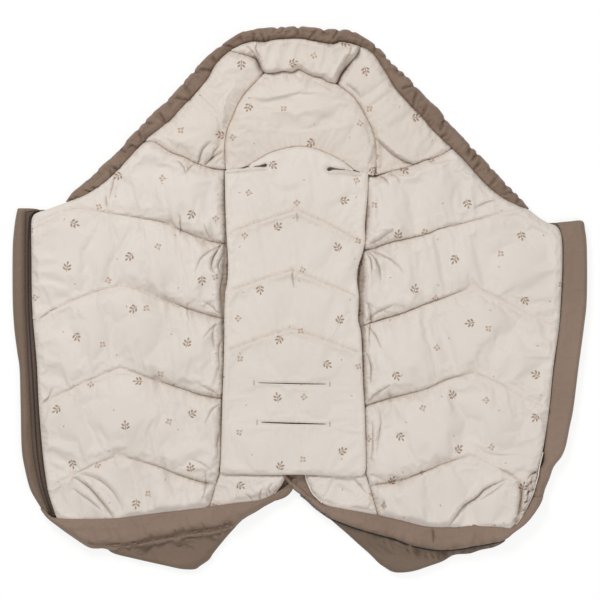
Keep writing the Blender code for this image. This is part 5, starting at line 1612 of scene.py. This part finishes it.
RIGHT_BAND_CREASES = [
    (18, 34, (432, 528), (433, 536), (433, 544)), (18, 24, (396, 534), (399, 528), (401, 522)),
    (16, 20, (390, 533), (395, 526)), (18, 22, (452, 548), (456, 540)), (20, 16, (470, 546), (478, 536)),
    (20, 22, (536, 508), (532, 498), (534, 488))]
recess = smooth_line(RECESS_EDGE)
right_band_net = Net(joined(RIGHT_BAND_TOP, RIGHT_BAND_LOW[::-1]), step=0.0040, seed=15,
                     folds=fold_lines(RIGHT_BAND_CREASES) + [recess])
p = right_band_net.points
zip_line = smooth_line(RIGHT_BAND_LOW[5:20])
by_zip, along = distance_to(p, zip_line)
low = 0.0150 + 0.0090 * bell(gap_to(p, smooth_line(RIGHT_BAND_TOP)), 0.008)
z = soft_heights(right_band_net, low, 0.0300, 0.015, 151, 0.0004, wave=0.012,
                 broad=0.0006, power=0.5)
ruffle = valleys(along + 0.3 * by_zip, 0.0100, 153) * np.exp(
    -by_zip / 0.010) * ease(p[:, 0], 0.06, 0.12) * ease(right_band_net.to_border, 0.0, 0.0022)
z += 0.0030 * ruffle
# Painted shade in the ruffle valleys.
right_band_net.deep = np.clip(-0.8 * ruffle - 0.1, 0.0, 0.6)
by_recess = p[:, 0] < 26 * SQUARE
in_recess = ease(side_of(p, recess)[0], -0.0005, 0.0016) * by_recess
z = np.where(by_recess, np.minimum(z, 0.0235), z)
z = z * (1 - in_recess) + 0.0115 * in_recess
prepare("right_band", right_band_net, z, creases=RIGHT_BAND_CREASES, free=0.003, **BAND_HOLD)

LEFT_POUCH_CREASES = [
    (24, 40, (176, 538), (186, 542), (196, 543)), (24, 36, (206, 534), (212, 540), (222, 542)),
    (24, 36, (128, 548), (138, 547), (146, 549)), (30, 50, (172, 544), (182, 545), (194, 549)),
    (30, 46, (150, 545), (144, 552), (132, 553)), (24, 22, (150, 546), (151, 558))]
RIGHT_POUCH_CREASES = [
    (26, 24, (366, 540), (380, 549), (400, 556), (425, 558)),
    (30, 44, (392, 545), (402, 549), (412, 555)), (28, 34, (404, 545), (416, 551), (428, 553)),
    (24, 22, (376, 544), (386, 552), (398, 562))]
left_pouch_net = Net(closed_outline(LEFT_POUCH), step=0.0044, seed=16)
p = left_pouch_net.points
z = soft_heights(left_pouch_net, 0.0050, 0.0145, 0.012, 161, 0.0004)
top = gap_to(p, at_squares([(-205, -243), (-166, -240), (-128, -233), (-58, -219)]))
ruffle = valleys(p[:, 0] + 0.3 * p[:, 1], 0.013, 163, 2.5) * np.exp(
    -top / 0.014) * ease(left_pouch_net.to_border, 0, 0.005)
z += 0.0040 * ruffle
# Painted shade in the ruffle valleys.
left_pouch_net.deep = np.clip(-0.8 * ruffle - 0.1, 0.0, 0.6)
prepare("left_pouch", left_pouch_net, z, growth=0.03, pressure=2.0, cap=0.004,
        after=ease(left_pouch_net.to_border, 0.0, 0.004) * creased(p, LEFT_POUCH_CREASES))

right_pouch_net = Net(closed_outline(RIGHT_POUCH), step=0.0044, seed=17)
p = right_pouch_net.points
z = soft_heights(right_pouch_net, 0.0050, 0.0150, 0.012, 171, 0.0004, broad=0.0014)
ruffle = valleys(p[:, 0] + 0.3 * p[:, 1], 0.0100, 173, 2.5) * bell(
    gap_to(p, zip_line) - 0.008, 0.010) * ease(right_pouch_net.to_border, 0, 0.005) * ease(
        p[:, 0], 0.13, 0.17)
z += 0.0042 * ruffle
# Painted shade in the ruffle valleys.
right_pouch_net.deep = np.clip(-0.9 * ruffle, 0.0, 0.7)
prepare("right_pouch", right_pouch_net, z, growth=0.04, pressure=2.0, cap=0.004,
        after=ease(right_pouch_net.to_border, 0.0, 0.004) * creased(p, RIGHT_POUCH_CREASES))
print("foot nets ready")

# %% [markdown]
# ## The edge strips
# The outer edges are brown strips. The left one leaves its half of the zip open to
# the light, with a dark groove beside the lining. The right one is a wider flap that
# covers its half of the zip.

# %% Nets of the two strips and the open zip tape
LEFT_STRIP_OUT = [
    (-283, 92), (-285, 82), (-286.6, 70), (-288, 50), (-288, 2), (-286.4, -28), (-283.4, -52),
    (-281, -70), (-280, -108), (-279, -148), (-276, -168), (-271, -188), (-265.4, -199), (-259, -209)]
LEFT_STRIP_IN = [
    (-275, 88), (-275.4, 40), (-275.2, 2), (-273.4, -40), (-271.6, -80), (-270, -112), (-268.6, -140),
    (-265.6, -166), (-261.4, -186), (-256, -202), (-251, -214)]
LEFT_TAPE_IN = [
    (-262, 89.4), (-268.4, 86.4), (-269.6, 74), (-269.4, 40), (-269, 0), (-267.2, -28), (-264.2, -62),
    (-262.4, -100), (-259.4, -140), (-256.8, -166), (-253.2, -188), (-249.6, -202), (-244, -217)]
RIGHT_STRIP = [
    (257, 77.6), (270, 78.8), (283, 79.4), (285.4, 71), (287.4, 52), (287.4, 2), (284.4, -28), (279, -68),
    (274, -108), (270, -128), (266.4, -146), (262, -157), (254, -167.4), (249.8, -179.3), (245.6, -189.1),
    (243, -198), (238, -202), (232.6, -200), (235.4, -186.3), (238.6, -176.5), (239.6, -169.5),
    (243.8, -161), (244.6, -146), (250, -108), (254, -68), (259.4, -28), (261.6, 0), (263, 30), (263, 56),
    (261, 69)]
left_strip_net = Net(joined(LEFT_STRIP_OUT, [(-259, -209), (-256, -213), (-251, -214)],
                            LEFT_STRIP_IN[::-1],
                            [(-275, 88), (-268, 89.4), (-261, 89.6), (-262, 91),
                             (-270, 91.8), (-283, 92)]), step=0.0042, seed=18)
RIGHT_STRIP_CREASES = [
    (26, 12, (572, 236), (574, 260), (572, 290)), (28, 14, (577, 300), (574, 330), (572, 356)),
    (22, 26, (566, 441), (560, 448), (553, 452)), (20, 26, (553, 466), (548, 472), (543, 476)),
    (18, 20, (545, 486), (541, 490))]
left_strip_net = Net(joined(LEFT_STRIP_OUT, [(-259, -209), (-256, -213), (-251, -214)],
                            LEFT_STRIP_IN[::-1],
                            [(-275, 88), (-268, 89.4), (-261, 89.6), (-262, 91),
                             (-270, 91.8), (-283, 92)]), step=0.0042, seed=18)
in_gap = gap_to(left_strip_net.points, smooth_line(LEFT_STRIP_IN))
z = soft_heights(left_strip_net, 0.0080, 0.0195, 0.009, 181, 0.0002, broad=0.0007,
                 power=0.5)
z -= 0.0030 * (1 - ease(in_gap, 0.0, 0.010)) * ease(left_strip_net.to_border, 0.0, 0.002)
prepare("left_strip", left_strip_net, z, growth=0.012, pressure=1.5, cap=0.002)
right_strip_net = Net(closed_outline(RIGHT_STRIP), step=0.0044, seed=19)
p = right_strip_net.points
low = 0.0100 + 0.0080 * bell(gap_to(p, smooth_line(RIGHT_OUTER)), 0.008)
z = soft_heights(right_strip_net, low, 0.0215, 0.010, 191, 0.0004, broad=0.0010,
                 wave=0.02, ways=(0.1, 1.0), power=0.5)
z += ease(right_strip_net.to_border, 0.0, 0.004) * creased(p, RIGHT_STRIP_CREASES)
prepare("right_strip", right_strip_net, z, growth=0.02, pressure=2.0, cap=0.003)
tape_net = Net(joined(LEFT_STRIP_IN, [(-251, -214), (-248, -217), (-244, -217)],
                      LEFT_TAPE_IN[::-1], [(-262, 89.4), (-268, 88.8), (-275, 88)]),
               step=0.0038, seed=20)
z = soft_heights(tape_net, 0.0085, 0.0105, 0.004, 201, 0.0002, broad=0.0004)
prepare("left_tape", tape_net, z, growth=0.01, pressure=0.5, cap=0.001)
print("strips of", len(left_strip_net.points), "and", len(right_strip_net.points), "points")

# %% [markdown]
# ## One simulation for all the cloth
# All the nets are blown up at the same time, each pinned along its own border and
# seams, for twenty frames.

# %% Blow up and close every padded piece
shapes = blow_up()
QUILT_BASE = 0.0030
PANEL_BASE = 0.0198
EDGE_BASE = 0.0022
POUCH_BASE = 0.0001
BEND_STEP = 0.014
SLIDER_AT = np.array([-0.0153, -0.2641])
SLIDER_WAY = np.array([-0.39809, -0.91734])
SLIDER_RUN = (-0.02, 0.085)
SLIDER_HALF = 0.0165


def blended():
    """A piece that is baked in place where it lies."""
    def going(obj, *nodes):
        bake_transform(obj)
        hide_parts(*nodes)
    return going


def riding(body):
    """A piece that goes with one body."""
    def going(obj, *nodes):
        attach(obj, body)
        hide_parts(*nodes)
    return going


left_going = blended()
right_going = blended()
hood_going = blended()
sewn_pieces = {"lining": [], "band": [], "shell": [], "tape": []}


def panel_going(obj, *nodes):
    """Bakes the panel in place; the threads on it stand for no solid."""
    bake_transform(obj)
    if nodes:
        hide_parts(*nodes)


def clear_slider_way(obj, free_z):
    """Lifts the underside over the slider's travel."""
    for vertex in obj.data.vertices:
        x, y = vertex.co[0] - SLIDER_AT[0], vertex.co[1] - SLIDER_AT[1]
        along = x * SLIDER_WAY[0] + y * SLIDER_WAY[1]
        across = y * SLIDER_WAY[0] - x * SLIDER_WAY[1]
        in_run = SLIDER_RUN[0] < along < SLIDER_RUN[1] and abs(across) < SLIDER_HALF
        if in_run and vertex.co[2] < free_z:
            vertex.co[2] = free_z


def sewn(name, net, shape, base, material, going, slot, *nodes, free_z=None, **settings):
    """Closes a blown up net, bakes it in place or hangs it on a body, hides the solids that it stands for
    and files it under its slot.
    """
    obj = close_below(name, net, shape, base, material, **settings)
    if free_z:
        clear_slider_way(obj, free_z)
    going(obj, *nodes)
    sewn_pieces[slot].append(obj)
    return obj


left_half = sewn(
    "left_quilted_half", left_net, shapes["left_half"], QUILT_BASE, cream_cotton,
    left_going, "lining", "left_front_quilt", "left_back_quilt", "left_front_wadding",
    pull=by_panel(left_net), low_step=BEND_STEP)
right_half = sewn(
    "right_quilted_half", right_net, shapes["right_half"], QUILT_BASE, cream_cotton,
    right_going, "lining", "right_front_quilt", "right_back_quilt", "right_front_wadding",
    shift=(0.4, 0.21), pull=by_panel(right_net), low_step=BEND_STEP)
for name, net, shape, nodes, shift, angle in (
        ("left_hood_lining", left_hood_net, "left_hood", ("left_hood_quilt",),
         (1.0, 0.1), 0.6),
        ("right_hood_lining", right_hood_net, "right_hood", ("right_hood_quilt",),
         (1.5, 0.3), -0.5),
        ("head_panel", head_net, "head_panel", ("head_panel_quilt", "hood_wadding"),
         (2.0, 0.2), 0.0),
        ("head_bolster_roll", bolster_net, "bolster", ("head_bolster",), (2.6, 0.5), 0.2)):
    # The hood pieces take the cream cotton with painted shade.
    sewn(name, net, shapes[shape], QUILT_BASE, cream_hood_cotton_painted_shade, hood_going, "lining",
         *nodes, shift=shift, angle=angle, pull=0.8)
panel = sewn(
    "harness_apron", panel_net, shapes["panel"], PANEL_BASE, cream_panel_cotton,
    panel_going, "lining", "harness_panel", shift=(3.1, 0.4), crease=0.8, rim=0.5,
    pull=np.where(panel_net.to_seam < panel_net.to_border, 0.62, 0.2))
sewn(
    "left_foot_lining", left_foot_net, shapes["left_foot"], QUILT_BASE, cream_cotton,
    riding("back"), "lining", "left_foot_quilt", shift=(3.6, 0.1), free_z=0.0120)
sewn(
    "right_foot_lining", right_foot_net, shapes["right_foot"], QUILT_BASE, cream_cotton,
    riding("back"), "lining", "right_foot_quilt", "back_wadding", shift=(4.1, 0.7))
left_band = sewn(
    "left_foot_band", left_band_net, shapes["left_band"], EDGE_BASE, brown_band_cloth,
    left_going, "band", "left_back_foot_band", "left_front_foot_band",
    pull=np.where(left_band_net.to_seam < left_band_net.to_border, 0.2 + 0.6 * band_pull,
                  0.1))
sewn(
    "right_foot_band", right_band_net, shapes["right_band"], EDGE_BASE, brown_band_cloth,
    right_going, "band", "right_back_foot_band", "right_front_foot_band",
    shift=(0.7, 0.0), pull=0.5, free_z=0.0128)
sewn("left_foot_pouch", left_pouch_net, shapes["left_pouch"], POUCH_BASE, shaded_brown_cloth,
     left_going, "shell", "left_back_pouch", "left_front_pouch", shift=(1.1, 0.0), pull=0.3)
# The right pouch wears the brown cloth with painted shade.
sewn("right_foot_pouch", right_pouch_net, shapes["right_pouch"], POUCH_BASE,
     brown_pouch_cloth_painted_shade, right_going, "shell", "right_back_pouch", "right_front_pouch",
     shift=(1.6, 0.0), pull=0.3)
sewn("left_edge_strip", left_strip_net, shapes["left_strip"], EDGE_BASE, shaded_brown_cloth,
     riding("left_front"), "shell", "left_placket", shift=(2.1, 0.0), pull=0.1)
sewn("right_edge_strip", right_strip_net, shapes["right_strip"], EDGE_BASE,
     brown_band_cloth, riding("right_front"), "band", "right_placket", shift=(2.6, 0.0),
     pull=0.15)
left_tape = sewn(
    "left_open_tape", tape_net, shapes["left_tape"], EDGE_BASE, dark_cloth,
    riding("left_front"), "tape", "left_zip_tape", shift=(3.6, 0.0), pull=0.1)
print("closed", len(shapes) - 1, "padded pieces")

# %% Cut the casing in three
NECK_LEFT = at_squares([(-172, 160), (-155, 158)]).mean(0)
NECK_RIGHT = at_squares([(163, 162), (152, 151.6)]).mean(0)


class Cut:
    """A part of a net, with the same fields that closing it needs."""

    def __init__(self, net, keep):
        used, index = np.unique(net.triangles[keep], return_inverse=True)
        self.used = used
        self.points, self.near = net.points[used], net.near[used]
        self.calm, self.deep = net.calm[used], net.deep[used]
        self.triangles = index.reshape(-1, 3)
        self.after = rim_of(self.triangles)
        first = next(iter(self.after))
        ring, now = [first], self.after[first]
        while now != first and len(ring) < len(self.after) + 1:
            ring.append(now)
            now = self.after[now]
        self.rings = [self.points[ring]]
        self.on_seam = np.zeros(len(self.points), bool)


middles = casing_net.points[casing_net.triangles].mean(1)
is_left = (middles[:, 0] < 0) & (middles[:, 1] < NECK_LEFT[1])
is_right = (middles[:, 0] > 0) & (middles[:, 1] < NECK_RIGHT[1])
for name, keep, node, going in (
        ("left_casing_tip", is_left, "left_casing_end", left_going),
        ("right_casing_tip", is_right, "right_casing_end", right_going),
        ("hood_rim_casing", ~is_left & ~is_right, "hood_casing", hood_going)):
    cut = Cut(casing_net, keep)
    sewn(name, cut, shapes["casing"][cut.used], EDGE_BASE, brown_casing_cloth,
                   going, "shell", node, shift=(3.2, 0.0), pull=1.0)
    print(name, len(cut.points), "points")

# %% [markdown]
# ## Flat pieces
# The layers that hardly show are plain: the cloth under the harness panel, the
# backing of the yoke and the outer cloth below it all.

# %% Flat closed pieces and the outer cloth
def flat_piece(name, outline, low, high, material, holes=(), step=0.006, seed=30,
               shift=(0.0, 0.0), low_step=0.018):
    net = Net(outline, holes=holes, step=step, seed=seed)
    return close_below(name, net, at_height(net.points, high), low, material, shift=shift,
                       levels=0, low_step=low_step)


CENTRE_OUTLINE = [
    (-73.6, 128), (62, 123), (61, 56), (56, 3), (59, -50), (62.6, -140), (14, -140), (5, -128),
    (-9, -128), (-15, -140), (-75, -140), (-72, -52), (-71.5, 7), (-71, 66)]
centre = flat_piece("centre_lining", at_squares(CENTRE_OUTLINE), 0.0026, 0.0125,
                    plain_cotton, holes=[slit(SLIT_LINES[0], 0.8), slit(SLIT_LINES[1], 1.1)],
                    shift=(0.0, 1.0))
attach(centre, "back")
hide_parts("back_centre_lining")
yoke_outline = np.concatenate([smooth_line(YOKE_ARCH)[::-1][1:-1], at_squares([
    (-54, 133.0), (-60, 128.4), (-30, 128.2), (28, 126.6), (54, 124.6)])])
yoke = flat_piece("yoke_backing", yoke_outline, 0.0026, 0.0150, plain_cotton,
                  shift=(0.5, 1.0))
hood_going(yoke, "harness_yoke")

SHELL_LEFT = [
    (0, 137), (-104, 137), (-126, 145), (-150, 157), (-156, 160), (-172, 160), (-190, 141), (-208, 122),
    (-229, 104), (-235, 96), (-250, 90.6), (-262, 90.4), (-282.6, 91.6), (-286.2, 70), (-287.4, 50),
    (-287.4, 2), (-285.8, -28), (-282.8, -52), (-280.4, -70), (-279.4, -108), (-278.4, -148),
    (-275.4, -168), (-270.4, -188), (-260, -206.4), (-252.4, -217.4), (-240.6, -227.4), (-226.6, -237.4),
    (-212, -246.6), (-164, -244.6), (-135, -240), (-100, -235.6), (-64, -224.6), (-44, -211.6),
    (-22, -199.8), (-10, -193.4), (-5, -186), (0, -186)]
SHELL_RIGHT = [
    (0, -186), (0, -193.6), (8, -200), (20.3, -211), (31.5, -218.4), (60, -229), (94, -238.4),
    (122, -247.6), (150, -249.6), (178, -245.6), (204.4, -239.8), (225.6, -223.6), (233.8, -214),
    (240.8, -203), (249.2, -179), (253.6, -167.4), (261.4, -157), (265.8, -146), (269.4, -128),
    (273.4, -108), (278.4, -68), (283.8, -28), (286.8, 2), (286.8, 52), (284.8, 70), (282.6, 78.8),
    (247, 77), (238.6, 82), (229, 90), (221, 100.8), (200, 121.6), (182, 141.6), (163, 161), (152, 151),
    (135, 142), (104, 137), (0, 137)]
SHELL_HOOD = [
    (0, 137.2), (-104, 137.2), (-126, 145.2), (-150, 157.2), (-156, 160.2), (-172, 160.2), (-161, 171.4),
    (-141, 191.4), (-118.4, 214), (-103, 232), (-87, 247.4), (-70, 260), (-57, 266.8), (-33, 271.4),
    (-3, 272.8), (27, 270.2), (50, 268.8), (65, 261.4), (77.6, 252), (93, 235.4), (108, 221.4),
    (126, 201.4), (139, 189.4), (150, 174.8), (163, 161.2), (152, 151.2), (135, 142.2), (104, 137.2)]


def outline_area(outline):
    x, y = outline[:, 0], outline[:, 1]
    return abs(float(np.dot(x, np.roll(y, -1)) - np.dot(y, np.roll(x, -1)))) / 2


SHELL_TOP = 0.0020
for name, table, going, nodes in (
        ("left_outer_cloth", SHELL_LEFT, left_going, ("left_front_shell", "back_shell")),
        ("right_outer_cloth", SHELL_RIGHT, right_going, ("right_front_shell",)),
        ("hood_outer_cloth", SHELL_HOOD, hood_going, ("hood_shell",))):
    outline = at_squares(table)
    cloth = flat_piece(name, outline, 0.0, SHELL_TOP, shaded_brown_cloth, step=0.008,
                       shift=(5.0, 0.0), seed=31, low_step=0.006)
    going(cloth, *nodes)
    reach = outline.max(0) - outline.min(0)
    print(name, "of", round(outline_area(outline), 3), "square metres")


# %% [markdown]
# ## Threads, piping and the zip
# Stitches, zip teeth and piping all repeat along a line. One Geometry Nodes group
# sets small solids along a curve, another sweeps a round cord along it. The lines
# are first laid on the finished cloth, from above, so the thread follows it.

# %% Lines that lie on the cloth
ABOVE_ALL = 0.2
GEOMETRY = {"Geometry": ("Geometry", None)}


def on_cloth(obj, line, lift=0.0002, step=0.002):
    """A flat line dropped onto a piece from above; points that miss it are left out."""
    tree = BVHTree.FromObject(obj, bpy.context.evaluated_depsgraph_get())
    made = []
    for x, y in spread(line, step):
        hit = tree.ray_cast(Vector((x, y, ABOVE_ALL)), Vector((0, 0, -1)))
        if hit[0] is not None:
            made.append((x, y, hit[0].z + lift))
    return np.array(made)


w = Group("stitch_run", {
    **GEOMETRY, "Gap": ("Float", None), "Length": ("Float", None), "Width": ("Float", None),
    "Thickness": ("Float", None), "Turn": ("Float", None), "Seed": ("Int", None),
    "Material": ("Material", None)}, {"Geometry": "Geometry"}, "GeometryNodeTree")
stitches = w.tree
steps = w.add("GeometryNodeCurveToPoints", {
    "Curve": w.taken["Geometry"], "Length": w.taken["Gap"]}, mode="LENGTH").outputs
ball = w.add("GeometryNodeMeshIcoSphere", {"Radius": 0.5, "Subdivisions": 1})
size = w.join(w.taken["Width"], w.taken["Thickness"], w.taken["Length"])
upward = (0.0, 0.0, 1.0)
uneven = w.add("FunctionNodeRandomValue", {
    "Min": w.vector("SCALE", upward, scale=w.times(w.taken["Turn"], -1.0)),
    "Max": w.vector("SCALE", upward, scale=w.taken["Turn"]),
    "Seed": w.taken["Seed"]}, data_type="FLOAT_VECTOR")
angle = w.add("FunctionNodeEulerToRotation", {0: uneven.outputs[0]})
turned = w.add("FunctionNodeRotateRotation", {
    0: steps["Rotation"], 1: angle.outputs[0]}, rotation_space="GLOBAL")
placed = w.add("GeometryNodeInstanceOnPoints", {
    "Points": steps["Points"], "Instance": ball.outputs[0],
    "Rotation": turned.outputs[0], "Scale": size})
real = w.add("GeometryNodeRealizeInstances", {0: placed.outputs[0]})
w.give("Geometry", w.add("GeometryNodeSetMaterial", {
    "Geometry": real.outputs[0], "Material": w.taken["Material"]}).outputs[0])

w = Group("cord_along", {**GEOMETRY, "Radius": ("Float", None), "Material": ("Material", None)},
          {"Geometry": "Geometry"}, "GeometryNodeTree")
cord = w.tree
ring = w.add("GeometryNodeCurvePrimitiveCircle", {
    "Resolution": 8, "Radius": w.taken["Radius"]})
swept = w.add("GeometryNodeCurveToMesh", {
    "Curve": w.taken["Geometry"], "Profile Curve": ring.outputs[0], "Fill Caps": True})
soft = w.add("GeometryNodeSetShadeSmooth", {0: swept.outputs[0]})
w.give("Geometry", w.add("GeometryNodeSetMaterial", {
    "Geometry": soft.outputs[0], "Material": w.taken["Material"]}).outputs[0])


def run_plan(name, plan, lines, **values):
    """Runs a node group on lines of points and bakes what it makes to one plain mesh."""
    curve = bpy.data.curves.new(name + "_line", "CURVE")
    curve.dimensions = "3D"
    for line in lines:
        run = curve.splines.new("POLY")
        run.points.add(len(line) - 1)
        run.points.foreach_set("co", np.column_stack(
            [line, np.ones(len(line))]).astype(np.float32).ravel())
    start = link_in(bpy.data.objects.new(name + "_line", curve))
    nodes = start.modifiers.new("Plan", "NODES")
    nodes.node_group = plan
    for item in plan.interface.items_tree:
        if item.in_out == "INPUT" and item.name.lower() in values:
            nodes[item.identifier] = values[item.name.lower()]
    graph = bpy.context.evaluated_depsgraph_get()
    data = bpy.data.meshes.new_from_object(start.evaluated_get(graph))
    data.name = name
    made = link_in(bpy.data.objects.new(name, data))
    bpy.data.objects.remove(start, do_unlink=True)
    return made


def plain_material(name, colour, **settings):
    made = bpy.data.materials.new(name)
    w, shader = shader_of(made)
    w.put(shader, "Base Color", (*colour, 1.0))
    for socket, value in settings.items():
        w.put(shader, socket.replace("_", " "), value)
    return made


THREAD = {"Roughness": 0.55, "Sheen_Weight": 0.1}
peach_thread = plain_material("peach_thread", (0.66, 0.52, 0.41), **THREAD)
cream_thread = plain_material("cream_thread", (0.60, 0.53, 0.46), **THREAD)
brown_thread = plain_material("brown_thread", (0.17, 0.12, 0.09), **THREAD)
black_nylon = plain_material("black_nylon", (0.018, 0.015, 0.014), **THREAD)
white_cloth = plain_material("white_piping", (0.72, 0.68, 0.63), **THREAD)
print("plans ready:", stitches.name, "and", cord.name)

# %% Stitches of the quilting
for name, cloth, seams, going, thread, gap in (
        ("left_quilting_thread", left_half, LEFT_SEAMS, left_going, peach_thread, 0.0046),
        ("right_quilting_thread", right_half, RIGHT_SEAMS, right_going, peach_thread, 0.0046),
        ("panel_quilting_thread", panel, PANEL_SEAMS, panel_going, cream_thread, 0.0036)):
    made = run_plan(name, stitches, [on_cloth(cloth, peaked(seam)) for seam in seams],
                    gap=gap, length=0.0028, width=0.0007, thickness=0.0005, turn=0.2, seed=5,
                    material=thread)
    going(made)
    print(name, "with", len(made.data.polygons), "faces")


def around(line, half, reach):
    """A long box of stitches round a slit."""
    middle = spread(smooth_line(line), 0.004)
    ends = np.array([[reach, 0.0]])
    longer = np.concatenate([middle[:1] - ends, middle, middle[-1:] + ends])
    up = np.array([[0.0, half]])
    return np.concatenate([longer + up, (longer - up)[::-1], longer[:1] + up])


hem_lines = [
    *(around(line, 0.0036, 0.0050) for line in SLIT_LINES), *HEM_FOLDS,
    smooth_line([(-77.5, 122), (-77, 66), (-77.6, 7), (-78, -52), (-78.4, -110),
                 (-78.8, -170)]) + np.array([[0.0055, 0.0]]),
    smooth_line([(-74, -172.4), (-26, -172.6), (20, -172.8), (62, -173.6)])
    + np.array([[0.0, 0.0050]])]
made = run_plan("panel_hem_thread", stitches,
                [on_cloth(panel, line, 0.0001) for line in hem_lines], gap=0.0030,
                length=0.0022, width=0.0005, thickness=0.0004, turn=0.1, seed=6,
                material=cream_thread)
panel_going(made)
TACK_HALF = 0.0040
TACK_OUT = 0.0052
for line, which in zip(SLIT_LINES, ("upper", "lower")):
    left, right = at_squares(line[0]), at_squares(line[-1])
    bars = [np.array([[x, y - TACK_HALF], [x, y + TACK_HALF]])
            for x, y in ((left[0] - TACK_OUT, left[1]), (right[0] + TACK_OUT, right[1]))]
    made = run_plan(which + "_slit_tacks", stitches,
                    [on_cloth(panel, bar, 0.0001, 0.0008) for bar in bars],
                    gap=0.0009, length=0.0009, width=0.0018, thickness=0.0007, turn=0.2,
                    seed=8, material=brown_thread)
    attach(made, "panel")
    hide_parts(which + "_slit_binding")
print("panel hems and bar tacks sewn")

# %% Piping, a tape edge and a dark sheet of painted shade at the foot end
for side, table in (("left", LEFT_PIPING), ("right", RIGHT_PIPING)):
    flat = smooth_line(table)
    height = 0.0160 + 0.0030 * (1 - ease(lengths_along(flat), 0.008, 0.024))
    made = run_plan(side + "_foot_piping_cord", cord, [at_height(flat, height)],
                    radius=0.0012, material=white_cloth)
    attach(made, "back")
    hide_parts(side + "_foot_piping")
corner = smooth_line([
    (243, -152), (239.4, -167), (238, -176), (235.2, -186), (231.8, -197), (225.6, -210), (220, -219.6),
    (216, -224.6)])
made = run_plan("right_edge_piping", cord, [at_height(corner, 0.0212)], radius=0.0011,
                material=white_cloth)
right_going(made)
# Dark cloth where the left band's tip turns under the crossing strip: a sheet of painted shade.
dark_sheet_outline = px([
    (284.5, 470), (290, 478), (291.6, 482), (287, 487), (281, 492.6), (276.6, 495), (274.6, 493.4),
    (279.6, 487), (283.6, 480)])
made = flat_piece("left_foot_dark_shade_sheet", dark_sheet_outline, 0.0030, 0.0140, dark_cloth, step=0.004)
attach(made, "back")
edge = smooth_line([(-11.6, -178), (-15.4, -185), (-21.4, -192.6)])
made = run_plan("left_foot_tape_edge", cord, [at_height(edge, 0.0146)], radius=0.0009,
                material=shaded_brown_cloth)
lay_coordinates(made, np.array([v.co[:2] for v in made.data.vertices]))
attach(made, "back")
print("foot piping laid")

# %% The zip at the right foot and on the left edge
ZIP_SHIFT = np.array([[-0.0003, -0.0008]])
zip_low = smooth_line(RIGHT_BAND_LOW[3:20]) + ZIP_SHIFT
made = run_plan("foot_zip_coil", stitches, [at_height(zip_low, 0.0158)], gap=0.0013,
                length=0.0013, width=0.0044, thickness=0.0034, turn=0.2, seed=9,
                material=black_nylon)
right_going(made)
line = on_cloth(left_tape, smooth_line([
    (-270.6, 84), (-272.2, 60), (-272.2, 2), (-270.6, -34), (-268, -74), (-266.2, -106), (-264.4, -138),
    (-261.4, -166), (-257.4, -187), (-252.6, -203), (-248.4, -214)]), 0.0006)
made = run_plan("left_zip_coil_teeth", stitches, [line], gap=0.0014, length=0.0012,
                width=0.0034, thickness=0.0014, turn=0.05, seed=10, material=black_nylon)
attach(made, "left_front")
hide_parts("left_zip_coil")

# Two rows of stitches hold the gathers of the left band.
lines = [on_cloth(left_band, smooth_line(seam), 0.0001) for seam in LEFT_BAND_SEAMS]
made = run_plan("left_band_thread", stitches, lines, gap=0.0036, length=0.0027,
                width=0.0006, thickness=0.0005, turn=0.1, seed=11, material=brown_thread)
left_going(made)
print("zips and band stitches made")

# %% Metal and the parts that stay
satin = plain_material("satin_zinc", (0.55, 0.52, 0.48), Metallic=1.0, Roughness=0.38)
for paint, node_names in (
        (satin, ("zip_slider", "pull_tab", "zip_bottom_stop", "left_top_stop")),
        (black_nylon, ("right_zip_coil",)),
        (dark_cloth, ("foot_zip_tape", "right_zip_tape"))):
    for node_name in node_names:
        for slot in bpy.data.objects[node_name].material_slots:
            slot.material = paint
print("metal parts painted")
